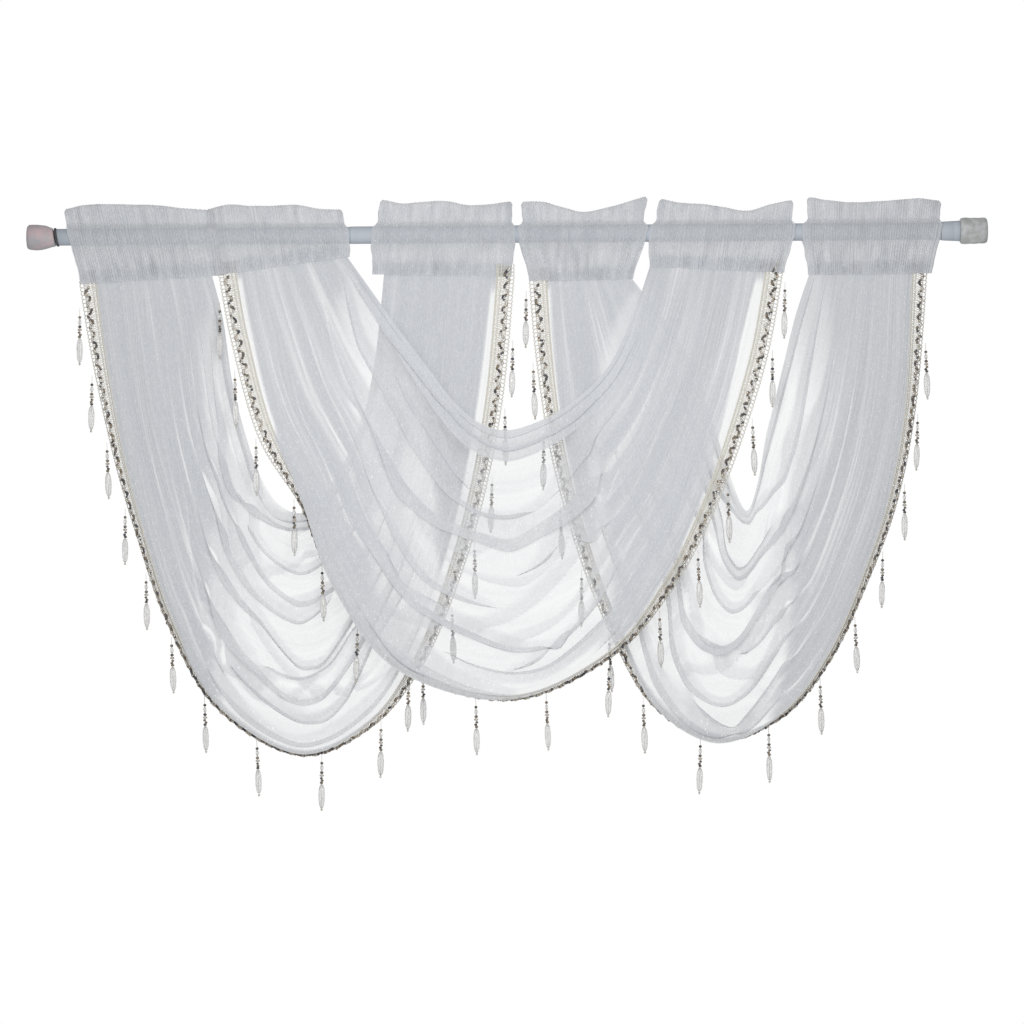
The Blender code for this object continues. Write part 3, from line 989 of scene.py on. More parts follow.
MIDDLE = SwagPlan(
    stations=(
        (286, -54.0, 458, -31.5, -2, -2, 0),
        (304, -148, 492, -80, -26, -27, 0),
        (339, -278, 532, -137, -39, -39, 8),
        (393, -383, 572, -191, -47, -43, 66),
        (439, -498, 608, -238, -50, -44, 78),
        (528, -615, 645, -270, -51, -45, 78),
        (686, -662, 687, -281, -51, -45, 74),
        (826, -603, 740, -264, -51, -45, 66),
        (908, -510, 789, -233, -49, -44, 38),
        (965, -404, 828, -193, -45, -43, 18),
        (1010, -288, 856, -141, -38, -40, 3),
        (1046, -170, 875, -92, -26, -29, 0),
        (1068, -57.3, 890, -48.0, -2, -2, 0),
    ),
    pleats=(
        Pleat(((0.3, 0.03, 4), (1, 0.035, 8), (2, 0.03, 7), (3, 0.025, 5), (4, 0.02, 3),
            (5, 0.025, 3), (6, 0.03, 3), (7, 0.025, 3), (8, 0.025, 5), (10, 0.03, 8),
            (11.7, 0.03, 4))),
        Pleat(((0.4, 0.08, 4), (1, 0.085, 8), (2, 0.085, 8), (3, 0.07, 6), (4, 0.05, 4),
            (5, 0.055, 4), (6, 0.075, 4), (7, 0.07, 4), (8, 0.07, 6), (10, 0.09, 9),
            (11.7, 0.08, 4))),
        Pleat(((0.6, 0.15, 4), (1.2, 0.22, 9), (1.8, 0.28, 8), (2.5, 0.28, 9), (3.2, 0.28, 10),
            (3.8, 0.285, 12), (4.4, 0.29, 12), (5, 0.31, 8), (5.5, 0.33, 5), (6, 0.33, 5),
            (6.5, 0.32, 6), (7, 0.275, 10), (7.5, 0.23, 14), (8.2, 0.2, 16), (9.5, 0.22, 12),
            (11.5, 0.22, 4))),
        Pleat(((2.6, 0.18, 0), (3.2, 0.19, 8), (3.8, 0.18, 8), (4.4, 0.2, 5), (4.9, 0.23, 3),
            (5.4, 0.27, 0))),
        Pleat(((0.6, 0.34, 4), (1.5, 0.42, 10), (2.2, 0.45, 14), (3, 0.46, 16), (3.6, 0.46, 18),
            (4.1, 0.47, 18), (4.7, 0.44, 14), (5.2, 0.42, 13), (5.6, 0.42, 13), (6, 0.44, 16),
            (6.5, 0.41, 18), (7, 0.4, 22), (7.5, 0.38, 26), (8.2, 0.34, 24), (9.5, 0.34, 14),
            (11.5, 0.34, 5)), 0.28),
        Pleat(((1, 0.55, 4), (2, 0.58, 10), (3, 0.59, 12), (3.5, 0.6, 14), (4, 0.605, 14),
            (4.5, 0.62, 12), (5, 0.655, 9), (5.4, 0.665, 6), (5.9, 0.675, 0))),
        Pleat(((6, 0.56, 0), (6.4, 0.54, 3), (6.8, 0.5, 6), (7.2, 0.56, 10), (8, 0.56, 16),
            (9, 0.5, 14), (11, 0.48, 5))),
        Pleat(((1.4, 0.74, 4), (2.2, 0.8, 10), (2.8, 0.8, 14), (3.4, 0.8, 14), (3.9, 0.785, 12),
            (4.4, 0.765, 11), (4.8, 0.76, 10), (5.2, 0.77, 9), (5.6, 0.79, 8), (6, 0.83, 7),
            (6.3, 0.85, 5), (6.6, 0.86, 3), (6.8, 0.86, 0))),
        Pleat(((2.6, 0.7, 0), (3.2, 0.69, 7), (3.8, 0.7, 8), (4.4, 0.71, 6), (4.9, 0.71, 4),
            (5.4, 0.72, 0)), -0.3),
        Pleat(((5.9, 0.91, 0), (6.2, 0.9, 4), (6.5, 0.865, 5), (7, 0.8, 7), (7.4, 0.75, 10),
            (8, 0.7, 14), (9, 0.64, 14), (11, 0.6, 5))),
        Pleat(((5.3, 0.87, 0), (5.6, 0.9, 3), (6, 0.92, 3), (6.4, 0.93, 4), (6.8, 0.9, 6),
            (7.2, 0.87, 10), (8, 0.8, 14), (9, 0.74, 14), (11, 0.72, 5)), -0.3),
        Pleat(((1.8, 0.93, 3), (2.7, 0.94, 8), (3.2, 0.95, 12), (3.7, 0.955, 15),
            (4.2, 0.955, 18), (4.6, 0.955, 20), (4.9, 0.955, 14), (5.3, 0.96, 9), (5.8, 0.975, 5),
            (6.2, 0.99, 0))),
        Pleat(((6.8, 0.97, 0), (7.4, 0.94, 8), (8.2, 0.9, 14), (9, 0.84, 14), (11, 0.8, 5))),
        Pleat(((1, 0.66, 4), (2, 0.68, 8), (2.8, 0.66, 8), (3.2, 0.65, 0))),
        Pleat(((3.2, 0.34, 4), (4.2, 0.46, 12), (5.2, 0.58, 14), (6.2, 0.62, 10),
            (7.2, 0.5, 5)), 0),
        Pleat(((4.4, 0.9, 0), (5.2, 0.84, 10), (6.2, 0.72, 12), (7.2, 0.58, 14),
            (8, 0.42, 6)), 0),
        Pleat(((5, 0.8, 0), (5.8, 0.84, 8), (6.6, 0.8, 10), (7.4, 0.68, 10), (8.2, 0.6, 0)), 0),
        Pleat(((2.6, 0.5, 5), (3.6, 0.56, 8), (4.6, 0.54, 8), (5.6, 0.5, 6), (6.2, 0.48, 0)), 0),
    ),
    dense_from=(-0.3, 0.2, 0.3, 0.42, 0.6, 1.02, 1.3, 0.95, 0.12, 0.02, -0.1, -0.2, -0.3),
    top_roll=(3, 10, 17, 24, 30, 38, 43, 38, 30, 26, 20, 12, 4),
    hem_band=(0, 0, 0, 18, 20, 14, 3, 0, 0, 0, 0, 0, 0),
    strip=(5.0, 6.0, 5.0, 3.0, 2.0, 2.0, 2.0, 2.0, 3.0, 5.0, 11.0, 16.0, 8.0),
    veil=(0.0, 0.0, 0.0, 4.0, 7.0, 7.5, 4.5, 0.0, 0.0, 0.0, 0.0, 0.0, 0.0),
    lined=(1, 1, 1, 1, 1, 1, 1, 1, 1, 1, 1, 1, 1),
    gathered_layers=7.0,
    roll_layers=3.0,
    flat=(1.45, 0.42),
    first_drop=45.0,
    drop_pitch=100.9,
    drop_count=16,
    seed=11.3,
)

RIGHT = SwagPlan(
    stations=(
        (730, -66.8, 865, -65.0, 7, 4, 0),
        (738, -175, 892, -100, 9, 5, 0),
        (756, -308, 925, -143, 7, 6, 4),
        (790, -442, 954, -201, 6, 6, 12),
        (836, -566, 980, -273, 4, 6, 34),
        (892, -672, 1003, -348, 2, 6, 68),
        (982, -725, 1026, -398, 0, 6, 82),
        (1077, -690, 1043, -357, 2, 6, 74),
        (1146, -606, 1054, -295, 4, 6, 62),
        (1197, -496, 1068, -240, 5, 6, 54),
        (1238, -381, 1083, -180, 5, 6, 46),
        (1264, -243, 1099, -117, 5, 5, 42),
        (1277, -60.1, 1118, -61.0, 3, 3, 30),
    ),
    pleats=(
        Pleat(((0.4, 0.03, 4), (4, 0.04, 5), (5.2, 0.04, 4), (6, 0.03, 4), (7, 0.03, 4),
            (8, 0.05, 6), (9.5, 0.05, 5), (11.5, 0.06, 4))),
        Pleat(((0.5, 0.12, 4), (3, 0.14, 8), (4.6, 0.12, 8), (5.4, 0.07, 6), (6, 0.055, 5),
            (6.7, 0.08, 5), (7.6, 0.17, 6), (8.2, 0.24, 7), (9, 0.24, 8), (10.2, 0.2, 8),
            (11.5, 0.18, 4))),
        Pleat(((4.6, 0.12, 0), (5.2, 0.16, 4), (5.5, 0.235, 4), (6, 0.26, 4), (6.7, 0.24, 4),
            (7.2, 0.25, 4), (7.6, 0.27, 0)), -0.3),
        Pleat(((0.5, 0.25, 4), (3, 0.25, 8), (4.6, 0.18, 8), (5.1, 0.22, 6), (5.4, 0.27, 5),
            (6, 0.3, 5), (6.8, 0.285, 7), (7.2, 0.305, 8), (7.6, 0.335, 12), (8.2, 0.37, 16),
            (9, 0.38, 14), (11, 0.36, 5))),
        Pleat(((0.5, 0.4, 4), (3, 0.36, 8), (4.5, 0.3, 8), (4.8, 0.28, 8), (5, 0.36, 8),
            (5.5, 0.43, 6), (5.9, 0.45, 5), (6.2, 0.44, 5), (6.7, 0.41, 8), (7.1, 0.405, 10),
            (7.5, 0.43, 14), (8.2, 0.48, 16), (9, 0.48, 12), (11, 0.46, 5))),
        Pleat(((0.5, 0.5, 4), (3, 0.52, 10), (4.3, 0.5, 14), (4.7, 0.56, 16), (5, 0.635, 15),
            (5.4, 0.655, 13), (5.8, 0.635, 12), (6.2, 0.585, 12), (6.5, 0.53, 14),
            (6.8, 0.49, 16), (7.2, 0.49, 18), (7.8, 0.56, 18), (9, 0.58, 14),
            (11, 0.56, 5)), 0.28),
        Pleat(((5.3, 0.69, 0), (5.5, 0.68, 3), (6.2, 0.65, 3), (6.7, 0.64, 4), (7, 0.61, 8),
            (7.4, 0.63, 12), (8, 0.68, 14), (9.5, 0.68, 10), (11, 0.66, 4))),
        Pleat(((0.5, 0.66, 4), (3, 0.66, 10), (4.3, 0.62, 14), (4.7, 0.67, 16), (5, 0.775, 14),
            (5.4, 0.845, 10), (5.8, 0.86, 5), (6.1, 0.86, 4), (6.5, 0.82, 6), (6.9, 0.745, 9),
            (7.2, 0.72, 12), (7.8, 0.76, 16), (9, 0.78, 12), (11, 0.76, 5))),
        Pleat(((5.3, 0.88, 0), (5.5, 0.89, 4), (5.8, 0.92, 5), (6.3, 0.95, 4), (6.7, 0.875, 6),
            (7.1, 0.81, 8), (7.4, 0.84, 12), (8.2, 0.86, 14), (9.5, 0.86, 10),
            (11.5, 0.86, 3)), -0.3),
        Pleat(((0.6, 0.93, 3), (3, 0.9, 8), (4.2, 0.88, 12), (4.8, 0.93, 10), (5.4, 0.96, 7),
            (6, 0.972, 6), (6.5, 0.975, 4), (7, 0.93, 8), (7.6, 0.94, 10), (9, 0.95, 8),
            (11.5, 0.95, 2))),
        Pleat(((4.4, 0.45, 0), (5, 0.56, 10), (5.8, 0.74, 12), (6.6, 0.8, 8), (7.2, 0.7, 0)), 0),
        Pleat(((4.8, 0.84, 0), (5.6, 0.78, 8), (6.4, 0.66, 10), (7.2, 0.56, 10),
            (8, 0.42, 0)), 0),
        Pleat(((4.6, 0.3, 0), (5.3, 0.36, 8), (6, 0.37, 8), (6.8, 0.3, 8), (7.4, 0.2, 0)), 0),
    ),
    dense_from=(-0.3, 0.3, 0.65, 0.9, 1.05, 1.2, 1.3, 0.82, 0.42, 0.34, 0.3, 0.26, 0.05),
    top_roll=(4, 8, 10, 12, 14, 16, 17, 14, 12, 12, 12, 8, 3),
    hem_band=(0, 0, 0, 0, 5, 11, 12, 0, 0, 0, 0, 0, 0),
    strip=(3.0, 3.0, 3.0, 3.0, 3.0, 3.0, 2.0, 1.0, 0.0, 0.0, 0.0, 0.0, 0.0),
    veil=(0.0, 0.0, 0.0, 0.0, 2.0, 7.0, 6.0, 0.0, 0.0, 0.0, 0.0, 0.0, 0.0),
    lined=(0, 0, 0, 0.2, 0.7, 1, 1, 1, 1, 1, 1, 1, 1),
    gathered_layers=9.0,
    roll_layers=0.7,
    flat=(1.50, 0.38),
    first_drop=18.0,
    drop_pitch=101.2,
    drop_count=15,
    seed=19.1,
)

HEADINGS = {
    "left_1": Heading(
        51, 250, 75, 266, -67, -56, 2, 0.0, (40, 46, 47, 46, 45, 41, 37), (1, 0), 2.8, (0, 16),
        (1.2, 1),
    ),
    "middle_1": Heading(
        254, 451, 271, 462, -56, -31, -2, 1.9, (38, 45, 43, 43, 44, 38, 37), (1, 4.5)
    ),
    "left_2": Heading(
        504, 694, 493, 692, -56, -61, 1, 0.8, (51, 45, 47, 48, 42, 43, 47), (6.5, 5)
    ),
    "right_1": Heading(
        706, 886, 716, 868, -67, -65, 5, 2.6, (46, 46, 38, 31, 36, 44, 53), (8.5, 7.5)
    ),
    "middle_2": Heading(
        903, 1097, 889, 1082, -48, -58, -2, 4.1, (49, 43, 41, 36, 31, 40, 46), (7, 6.5)
    ),
    "right_2": Heading(
        1116, 1309, 1117, 1293, -61, -60, 3, 3.3, (50, 45, 42, 43, 45, 47, 43), (8, 4.5)
    ),
}


@dataclass(frozen=True)
class Hem:
    """A swag's lower edge: the middle line of its braid and the directions at each point."""

    middle: np.ndarray
    across: np.ndarray
    proud: np.ndarray
    distance: np.ndarray

    def at(self, distance: np.ndarray, across: np.ndarray, proud: np.ndarray) -> np.ndarray:
        """Place points on the braid.

        Args:
            distance: How far along the braid's middle line, in millimetres.
            across: How far towards the cloth, in millimetres.
            proud: How far out of the braid's face, in millimetres.

        Returns:
            The points, in metres.
        """
        read = [
            np.stack([np.interp(distance, self.distance, line[:, i]) for i in range(3)], axis=-1)
            for line in (self.middle, self.across, self.proud)
        ]
        across_by = np.asarray(across)[..., None] * unit_rows(read[1])
        proud_by = np.asarray(proud)[..., None] * unit_rows(read[2])
        return (read[0] + across_by + proud_by) * MM

    @property
    def length(self) -> float:
        """The length of the braid's middle line, in millimetres."""
        return float(self.distance[-1])


@dataclass(frozen=True)
class ClothGrid:
    """The rows and columns of a swag's cloth, and where the swag's lines cross its rows.

    places are the rows' places in stations, and lifted is how far each row reaches up into
    its heading, in millimetres. lines are the swag's lines at each row, reach is how far its
    upper edge is from its hem, in millimetres, and dense_from is the share past which the
    cloth is gathered thick. shares are the columns' shares, from 0 at the upper edge to 1 at
    the hem, and dense is how gathered the cloth is at each point, from 0 to 1.
    """

    places: np.ndarray
    lifted: np.ndarray
    lines: dict[str, np.ndarray]
    reach: np.ndarray
    dense_from: np.ndarray
    shares: np.ndarray
    dense: np.ndarray
    last: int

    @property
    def down(self) -> np.ndarray:
        """How far each row is from the nearer heading, in stations."""
        return np.minimum(self.places, self.last - self.places)[:, None]

    def table(self, values: Sequence[float]) -> np.ndarray:
        """Read a table that has a value for each station, at each row."""
        return np.interp(self.places, np.arange(self.last + 1), values)[:, None]

    def noise(self, across: float, along: float, seed: float) -> np.ndarray:
        """Read smooth noise over the cloth.

        Args:
            across: How many noise cells there are from the upper edge to the hem.
            along: How many noise cells there are to a station.
            seed: Which of the endless noise patterns to read.

        Returns:
            The noise at each row and column.
        """
        first = np.tile(self.shares * across, (len(self.places), 1))
        second = np.tile(self.places[:, None] * along, (1, self.shares.size))
        return soft_noise(first, second, seed)


@dataclass(frozen=True)
class Laps:
    """How the pleats move and thicken the cloth, at each row and column.

    slide is how far the cloth moves towards the hem, as a share, and back is how far it
    moves back, in millimetres. folded_and_shaded is how many more layers lie along the pleats:
    partly the lapped cloth, partly a painted shade band that fades away from each fold's edge.
    edges is how many more lie at their turned edges, partly cloth seen edge-on
    and partly a painted shadow line. slits is how open the cloth is just past them, from 0 to 1.
    """

    slide: np.ndarray
    back: np.ndarray
    folded_and_shaded: np.ndarray
    edges: np.ndarray
    slits: np.ndarray


@dataclass
class Swag:
    """One draped cloth of sheer voile, from its left heading to its right one.

    Widths and depths are in millimetres, and lengths along the swag are in stations. A share
    is a part of the way from the upper edge to the hem.
    """

    name: str
    plan: SwagPlan
    rows: int = 216
    columns: int = 300
    hem_rows: int = 700

    # The hem, and the tabs at the swag's ends that reach up into the headings.
    braid_width: float = 26.0
    braid_thickness: float = 2.6
    edge_gap: float = 1.0
    tab: tuple[float, ...] = (21.0, 16.0, 10.0, 4.0)
    hem_below_tab: float = 2.0
    tab_layers: float = 0.8
    tab_fray: float = 2.2
    tuck_under_braid: float = 3.5
    pull_share: float = 0.1
    least_veil: float = 0.5
    veil_stand_off: float = 2.5
    tuck_depth: float = 0.9
    tuck_share: float = 0.03

    # How far the pleats are open, and how they move the cloth.
    open_at_heading: float = 0.45
    opening_start: float = 0.8
    opening_length: float = 2.4
    held_by_top: float = 0.05
    held_by_hem: float = 0.035
    held_by_gathers: float = 0.85
    gathers_before: float = 0.15
    gathers_share: float = 0.45
    calmed_by_gathers: float = 0.92
    fuller_when_clear: float = 0.15
    lap_share: float = 0.547
    least_half: float = 1e-4
    slide_share: float = 0.7
    edge_turn: float = 0.35

    # The layers along the pleats, with their painted shade bands and painted shadow lines, and
    # the slits of clear cloth past their edges.
    wander_cells: float = 1.1
    wander_apart: float = 3.1
    full_pleat: float = 5.0
    fold_width: float = 5.0
    fold_by_lap: float = 1.3
    fold_wander: float = 0.6
    fold_layers: float = 1.1
    most_fold_layers: float = 2.2
    fuller_towards_gathers: float = 1.1
    fuller_share: float = 0.4
    edge_width: float = 1.3
    edge_layers: float = 0.85
    slit_depth: float = 0.95
    slit_from_gathers: float = 0.05
    slit_reach: float = 1.0
    slit_least: float = 0.6
    slit_width: float = 1.6
    slit_by_lap: float = 0.5
    slit_wander: float = 0.5
    slit_open: float = 0.3
    slit_closing: float = 0.9

    # The small gathers that run down from the headings, and the cloth's slow swell.
    gather_waves: float = 34.0
    gather_height: float = 0.32
    gathered_share: float = 0.2
    swell: float = 3.2
    swell_length: float = 1.5
    swell_share: float = 0.06

    # The layers of the clear cloth, the rolled upper edge, the hem's band and its strip.
    clear_layers: float = 0.88
    least_layers: float = 0.3
    near_heading_length: float = 2.6
    roll_fade: float = 3.0
    band_layers: float = 4.0
    full_band: float = 6.0
    strip_layers: float = 0.75
    strip_fade: float = 5.0
    strip_length: float = 0.25
    full_strip: float = 2.5

    def crossings(self, places: np.ndarray) -> dict[str, np.ndarray]:
        """Work out the lines across the swag.

        Args:
            places: Where, counted in stations.

        Returns:
            The braid's middle, the cloth's lower and upper edges, and the direction across
            the braid, each with a row for each place, in millimetres.
        """
        read = smooth_through(np.array(self.plan.stations, float), places)
        hem_x, hem_z, top_x, top_z, hem_y, top_y, roll = read.T
        roll = np.radians(roll)[:, None]
        top = np.stack([top_x, top_y, top_z], axis=1)
        level = np.zeros_like(hem_x)
        inward = unit_rows(np.stack([top_x - hem_x, level, top_z - hem_z], axis=1))
        across = inward * np.cos(roll) - np.array([0, 1, 0]) * np.sin(roll)
        half = self.braid_width / 2
        hem = np.stack([hem_x, hem_y, hem_z], axis=1) + np.array([0, half, 0]) * np.sin(roll)
        clear = self.edge_gap + 0.5 * self.braid_thickness * np.sin(roll)
        edge = hem + across * half + inward * clear
        return {"hem": hem, "top": top, "edge": edge, "across": across}

    def hem(self) -> Hem:
        """Work out the braid's middle line, from inside the left heading to the right one."""
        lines = self.crossings(np.linspace(0, len(self.plan.stations) - 1, self.hem_rows))
        middle, across = lines["hem"], lines["across"]
        run = np.gradient(middle, axis=0)
        proud = unit_rows(np.cross(run, across))
        proud *= np.where(proud[:, 1:2] > 0, -1.0, 1.0)
        lift = np.array([0.0, 0.0, self.tab[0] - self.hem_below_tab])
        middle = np.concatenate([[middle[0] + lift], middle, [middle[-1] + lift]])
        across = np.concatenate([across[:1], across, across[-1:]])
        proud = np.concatenate([proud[:1], proud, proud[-1:]])
        steps = np.linalg.norm(np.diff(middle, axis=0), axis=1)
        distance = np.concatenate([[0.0], np.cumsum(steps)]) - lift[2]
        return Hem(middle, across, proud, distance)

    def _grid(self) -> ClothGrid:
        """Lay out the cloth's rows and columns."""
        last = len(self.plan.stations) - 1
        lift = np.array(self.tab)
        hung = np.linspace(0, last, self.rows)
        places = np.concatenate([np.zeros(len(lift)), hung, np.full(len(lift), last)])
        lines = self.crossings(places)
        shares = np.linspace(0.0, 1.0, self.columns)[None, :]
        dense_from = curve_of(self.plan.dense_from, places / last)[:, None]
        return ClothGrid(
            places=places,
            lifted=np.concatenate([lift, np.zeros(self.rows), lift[::-1]])[:, None],
            lines=lines,
            reach=np.linalg.norm(lines["edge"] - lines["top"], axis=1)[:, None],
            dense_from=dense_from,
            shares=shares,
            dense=ease((shares - dense_from) / self.gathered_share),
            last=last,
        )

    def _laps(self, grid: ClothGrid) -> Laps:
        """Work out how the pleats move and thicken the cloth.

        Args:
            grid: The cloth's rows and columns.

        Returns:
            What the pleats do.
        """
        slide = np.zeros((len(grid.places), self.columns))
        back, folded_and_shaded, edges, slits = (np.zeros_like(slide) for _ in range(4))
        opening = ease((grid.down - self.opening_start) / self.opening_length)
        opened = self.open_at_heading + (1 - self.open_at_heading) * opening
        opened = opened * grid.table(self.plan.lined)
        free_of_top = ease(grid.shares / self.held_by_top)
        free_of_hem = ease((1 - grid.shares) / self.held_by_hem)
        for number, pleat in enumerate(self.plan.pleats):
            centre, lap = (line[:, None] for line in pleat.at(grid.places))
            past_gathers = centre - grid.dense_from
            gathered = ease((past_gathers + self.gathers_before) / self.gathers_share)
            drawn = lap * opened * (1 + self.fuller_when_clear * (1 - gathered))
            width = drawn * (1 - self.calmed_by_gathers * gathered)
            half = np.maximum(width / (self.lap_share * grid.reach), self.least_half)
            swing = np.sin(np.pi * np.clip((grid.shares - centre) / half, -1, 1))
            if pleat.depth:
                loose = 1 - self.held_by_gathers * gathered
                slide -= half * self.slide_share * loose * swing * free_of_top * free_of_hem
            back += width * pleat.depth * swing * free_of_hem
            side = -1.0 if pleat.depth < 0 else 1.0
            above = ((centre - grid.shares) * side - self.edge_turn * half) * grid.reach
            row = np.full(len(grid.places), self.wander_apart * number)
            wander = soft_noise(grid.places * self.wander_cells, row, self.plan.seed)[:, None]
            shown = ease(drawn / self.full_pleat)
            fold = (self.fold_width + self.fold_by_lap * drawn) * (1 + self.fold_wander * wander)
            # Beside each fold's edge: a band of more layers, partly lapped cloth and partly
            # painted shade fading away from the edge, and a thin line, partly edge-on cloth and
            # partly painted shadow.
            folded_and_shaded += shown * (1 - ease(2 * above / fold - 1)) * (above > 0)
            edges = np.maximum(edges, shown * np.exp(-((above / self.edge_width) ** 2)))
            near_clear = 1 - ease((past_gathers - self.slit_from_gathers) / self.slit_reach)
            wide = (self.slit_width + self.slit_by_lap * drawn) * (1 + self.slit_wander * wander)
            wide = self.slit_least + wide * near_clear
            slit = (1 - ease((-above / wide - self.slit_open) / self.slit_closing)) * (above < 0)
            slits = np.maximum(slits, shown * near_clear * slit)
        folded_and_shaded = np.minimum(self.fold_layers * folded_and_shaded, self.most_fold_layers)
        return Laps(slide, back, folded_and_shaded, self.edge_layers * edges, slits)

    def surface(self) -> tuple[np.ndarray, np.ndarray, np.ndarray]:
        """Work out the cloth's points.

        Returns:
            The points in metres, by row and column, how many layers lie gathered at each,
            and the flat cloth's coordinates in metres.
        """
        grid = self._grid()
        laps = self._laps(grid)
        steps = np.linalg.norm(np.diff(grid.lines["hem"], axis=0), axis=1)
        along = np.concatenate([[0.0], np.cumsum(steps)]) + self.tab[0] - grid.lifted[:, 0]
        flat = np.stack(np.meshgrid(grid.shares[0] * self.plan.flat[1], along * MM), axis=-1)
        return self._points(grid, laps), self._layers(grid, laps), flat

    def _points(self, grid: ClothGrid, laps: Laps) -> np.ndarray:
        """Place the cloth's points.

        Args:
            grid: The cloth's rows and columns.
            laps: What the pleats do.

        Returns:
            The points in metres, by row and column.
        """
        veil = grid.table(self.plan.veil)
        across = grid.shares + laps.slide
        pulled = ease((across - (1 - self.pull_share)) / self.pull_share)
        across = across * (1 + (self.tuck_under_braid + veil) / grid.reach * pulled)
        top, edge = grid.lines["top"][:, None, :], grid.lines["edge"][:, None, :]
        points = top + across[..., None] * (edge - top)
        settled = ease(grid.down / self.swell_length) * ease((1 - grid.shares) / self.swell_share)
        swell = self.swell * grid.noise(5.0, 0.55, self.plan.seed) * settled
        points[..., 1] += laps.back + self._gathers(grid) + swell
        by_braid = np.where(veil > self.least_veil, -self.veil_stand_off, self.tuck_depth)
        points[..., 1] += by_braid * ease((across - (1 - self.tuck_share)) / self.tuck_share)
        fray = self.tab_fray * grid.noise(60.0, 0.0, 8.5)
        points[..., 2] += grid.lifted + grid.lifted / self.tab[0] * fray
        return points * MM

    def _gathers(self, grid: ClothGrid) -> np.ndarray:
        """Work out the small gathers that run down the cloth from its headings.

        Args:
            grid: The cloth's rows and columns.

        Returns:
            The way back of each point, in millimetres.
        """
        stray = grid.noise(9.0, 0.7, self.plan.seed + 5.0)
        strength = grid.noise(15.3, 0.7, self.plan.seed + 9.0)
        waves = np.sin(math.tau * self.gather_waves * grid.shares + 9.0 * stray)
        return waves * self.gather_height * (0.1 + 0.9 * grid.dense) * (0.75 + 0.4 * strength)

    def _layers(self, grid: ClothGrid, laps: Laps) -> np.ndarray:
        """Work out how many flat layers of cloth lie gathered at each point.

        Args:
            grid: The cloth's rows and columns.
            laps: What the pleats do.

        Returns:
            The number of layers.
        """
        plan = self.plan
        streaks = grid.noise(16.0, 0.35, plan.seed + 2.0)
        threads = grid.noise(62.0, 0.5, plan.seed + 4.0)
        slit = 1 - self.slit_depth * laps.slits
        rising = ease((grid.shares - grid.dense_from + self.fuller_share) / self.fuller_share)
        # The pleats' bands and edge lines, partly painted shade.
        more = laps.folded_and_shaded * (1 + self.fuller_towards_gathers * rising) + laps.edges
        dense = grid.dense * slit
        gathered = (plan.gathered_layers - 1) * dense * (1 + 0.5 * streaks + 0.35 * threads)
        near_heading = 0.5 * (plan.gathered_layers - 1) * slit
        near_heading = near_heading * (1 - ease(grid.down / self.near_heading_length))
        layers = self.clear_layers + 0.22 * streaks + 0.26 * threads
        layers = layers + gathered + near_heading * (1 - dense) + more * (1 - 0.9 * dense)

        past_roll = (grid.shares + laps.slide) * grid.reach - grid.table(plan.top_roll)
        roll = (1 - ease(past_roll / self.roll_fade)) * (1 + 0.35 * streaks + 0.3 * threads)
        roll = roll + 0.5 * np.exp(-((past_roll / self.edge_width) ** 2))
        layers = layers + plan.roll_layers * roll * (1 - 0.7 * dense)

        from_hem = (1 - grid.shares - laps.slide) * grid.reach
        band = grid.table(plan.hem_band)
        banded = ease(band / self.full_band)
        near_hem = 1 - ease((from_hem - 0.7 * band) / (0.3 * band + 1.0))
        layers = layers + self.band_layers * near_hem * banded

        strip = grid.table(plan.strip)
        thin = (1 - ease((from_hem - strip) / self.strip_fade)) * ease(strip / self.full_strip)
        thin = thin * ease(grid.down / self.strip_length) * (1 - banded)
        layers = np.maximum(layers, self.least_layers) * (1 - thin)
        layers = layers + (self.strip_layers + 0.3 * threads) * thin
        in_heading = self.tab_layers * (1 - grid.lifted / self.tab[0])
        return np.where(grid.lifted > 0, in_heading, 1.0) * layers

    def build(self, finishes: Finishes) -> bpy.types.Object:
        """Build the cloth.

        Args:
            finishes: The materials.

        Returns:
            The cloth.
        """
        points, layers, flat = self.surface()
        piece = cloth_object(f"cloth_swag_{self.name}", points, layers, flat, finishes.voile)
        show(piece, [f"swag_{self.name}"])
        return piece


def cloth_object(
    name: str,
    points: np.ndarray,
    layers: np.ndarray,
    flat: np.ndarray,
    finish: bpy.types.Material,
) -> bpy.types.Object:
    """Lay a fine grid onto a cloth's points, with its layers and its flat coordinates.

    The cloth hides more where it turns edge-on to the rod's plane, as at a fold's turn.

    Args:
        name: The piece's name.
        points: The points in metres, by row and column.
        layers: How many layers lie gathered at each point.
        flat: The flat cloth's coordinates in metres, by row and column.
        finish: The cloth's material.

    Returns:
        The cloth.
    """
    least_facing, most_turned, turned_share = 0.05, 2.8, 0.3
    rows, columns = points.shape[:2]
    Bench.clear()
    bpy.ops.mesh.primitive_grid_add(
        x_subdivisions=columns - 1, y_subdivisions=rows - 1, size=1.0, calc_uvs=True
    )
    made = bpy.context.object
    made.name = name
    mesh = made.data
    mesh.name = name
    count = len(mesh.vertices)
    grid = np.empty(count * 3)
    mesh.vertices.foreach_get("co", grid)
    grid = grid.reshape(-1, 3)
    column = np.rint((grid[:, 0] + 0.5) * (columns - 1)).astype(int)
    row = np.rint((grid[:, 1] + 0.5) * (rows - 1)).astype(int)
    mesh.vertices.foreach_set("co", points[row, column].ravel())
    mesh.update()
    normals = np.empty(count * 3)
    mesh.vertex_normals.foreach_get("vector", normals)
    facing = np.abs(normals.reshape(-1, 3)[:, 1])
    turned = np.minimum(1.0 / np.maximum(facing, least_facing), most_turned)
    hidden = layers[row, column] * (1 - turned_share + turned_share * turned)
    stored = mesh.attributes.new("cloth_layers", "FLOAT", "POINT")
    stored.data.foreach_set("value", hidden.astype(np.float32))
    corners = np.empty(len(mesh.loops), int)
    mesh.loops.foreach_get("vertex_index", corners)
    mesh.uv_layers.active.data.foreach_set(
        "uv", flat[row[corners], column[corners]].ravel().astype(np.float32)
    )
    mesh.materials.clear()
    mesh.materials.append(finish)
    mesh.shade_smooth()
    return made


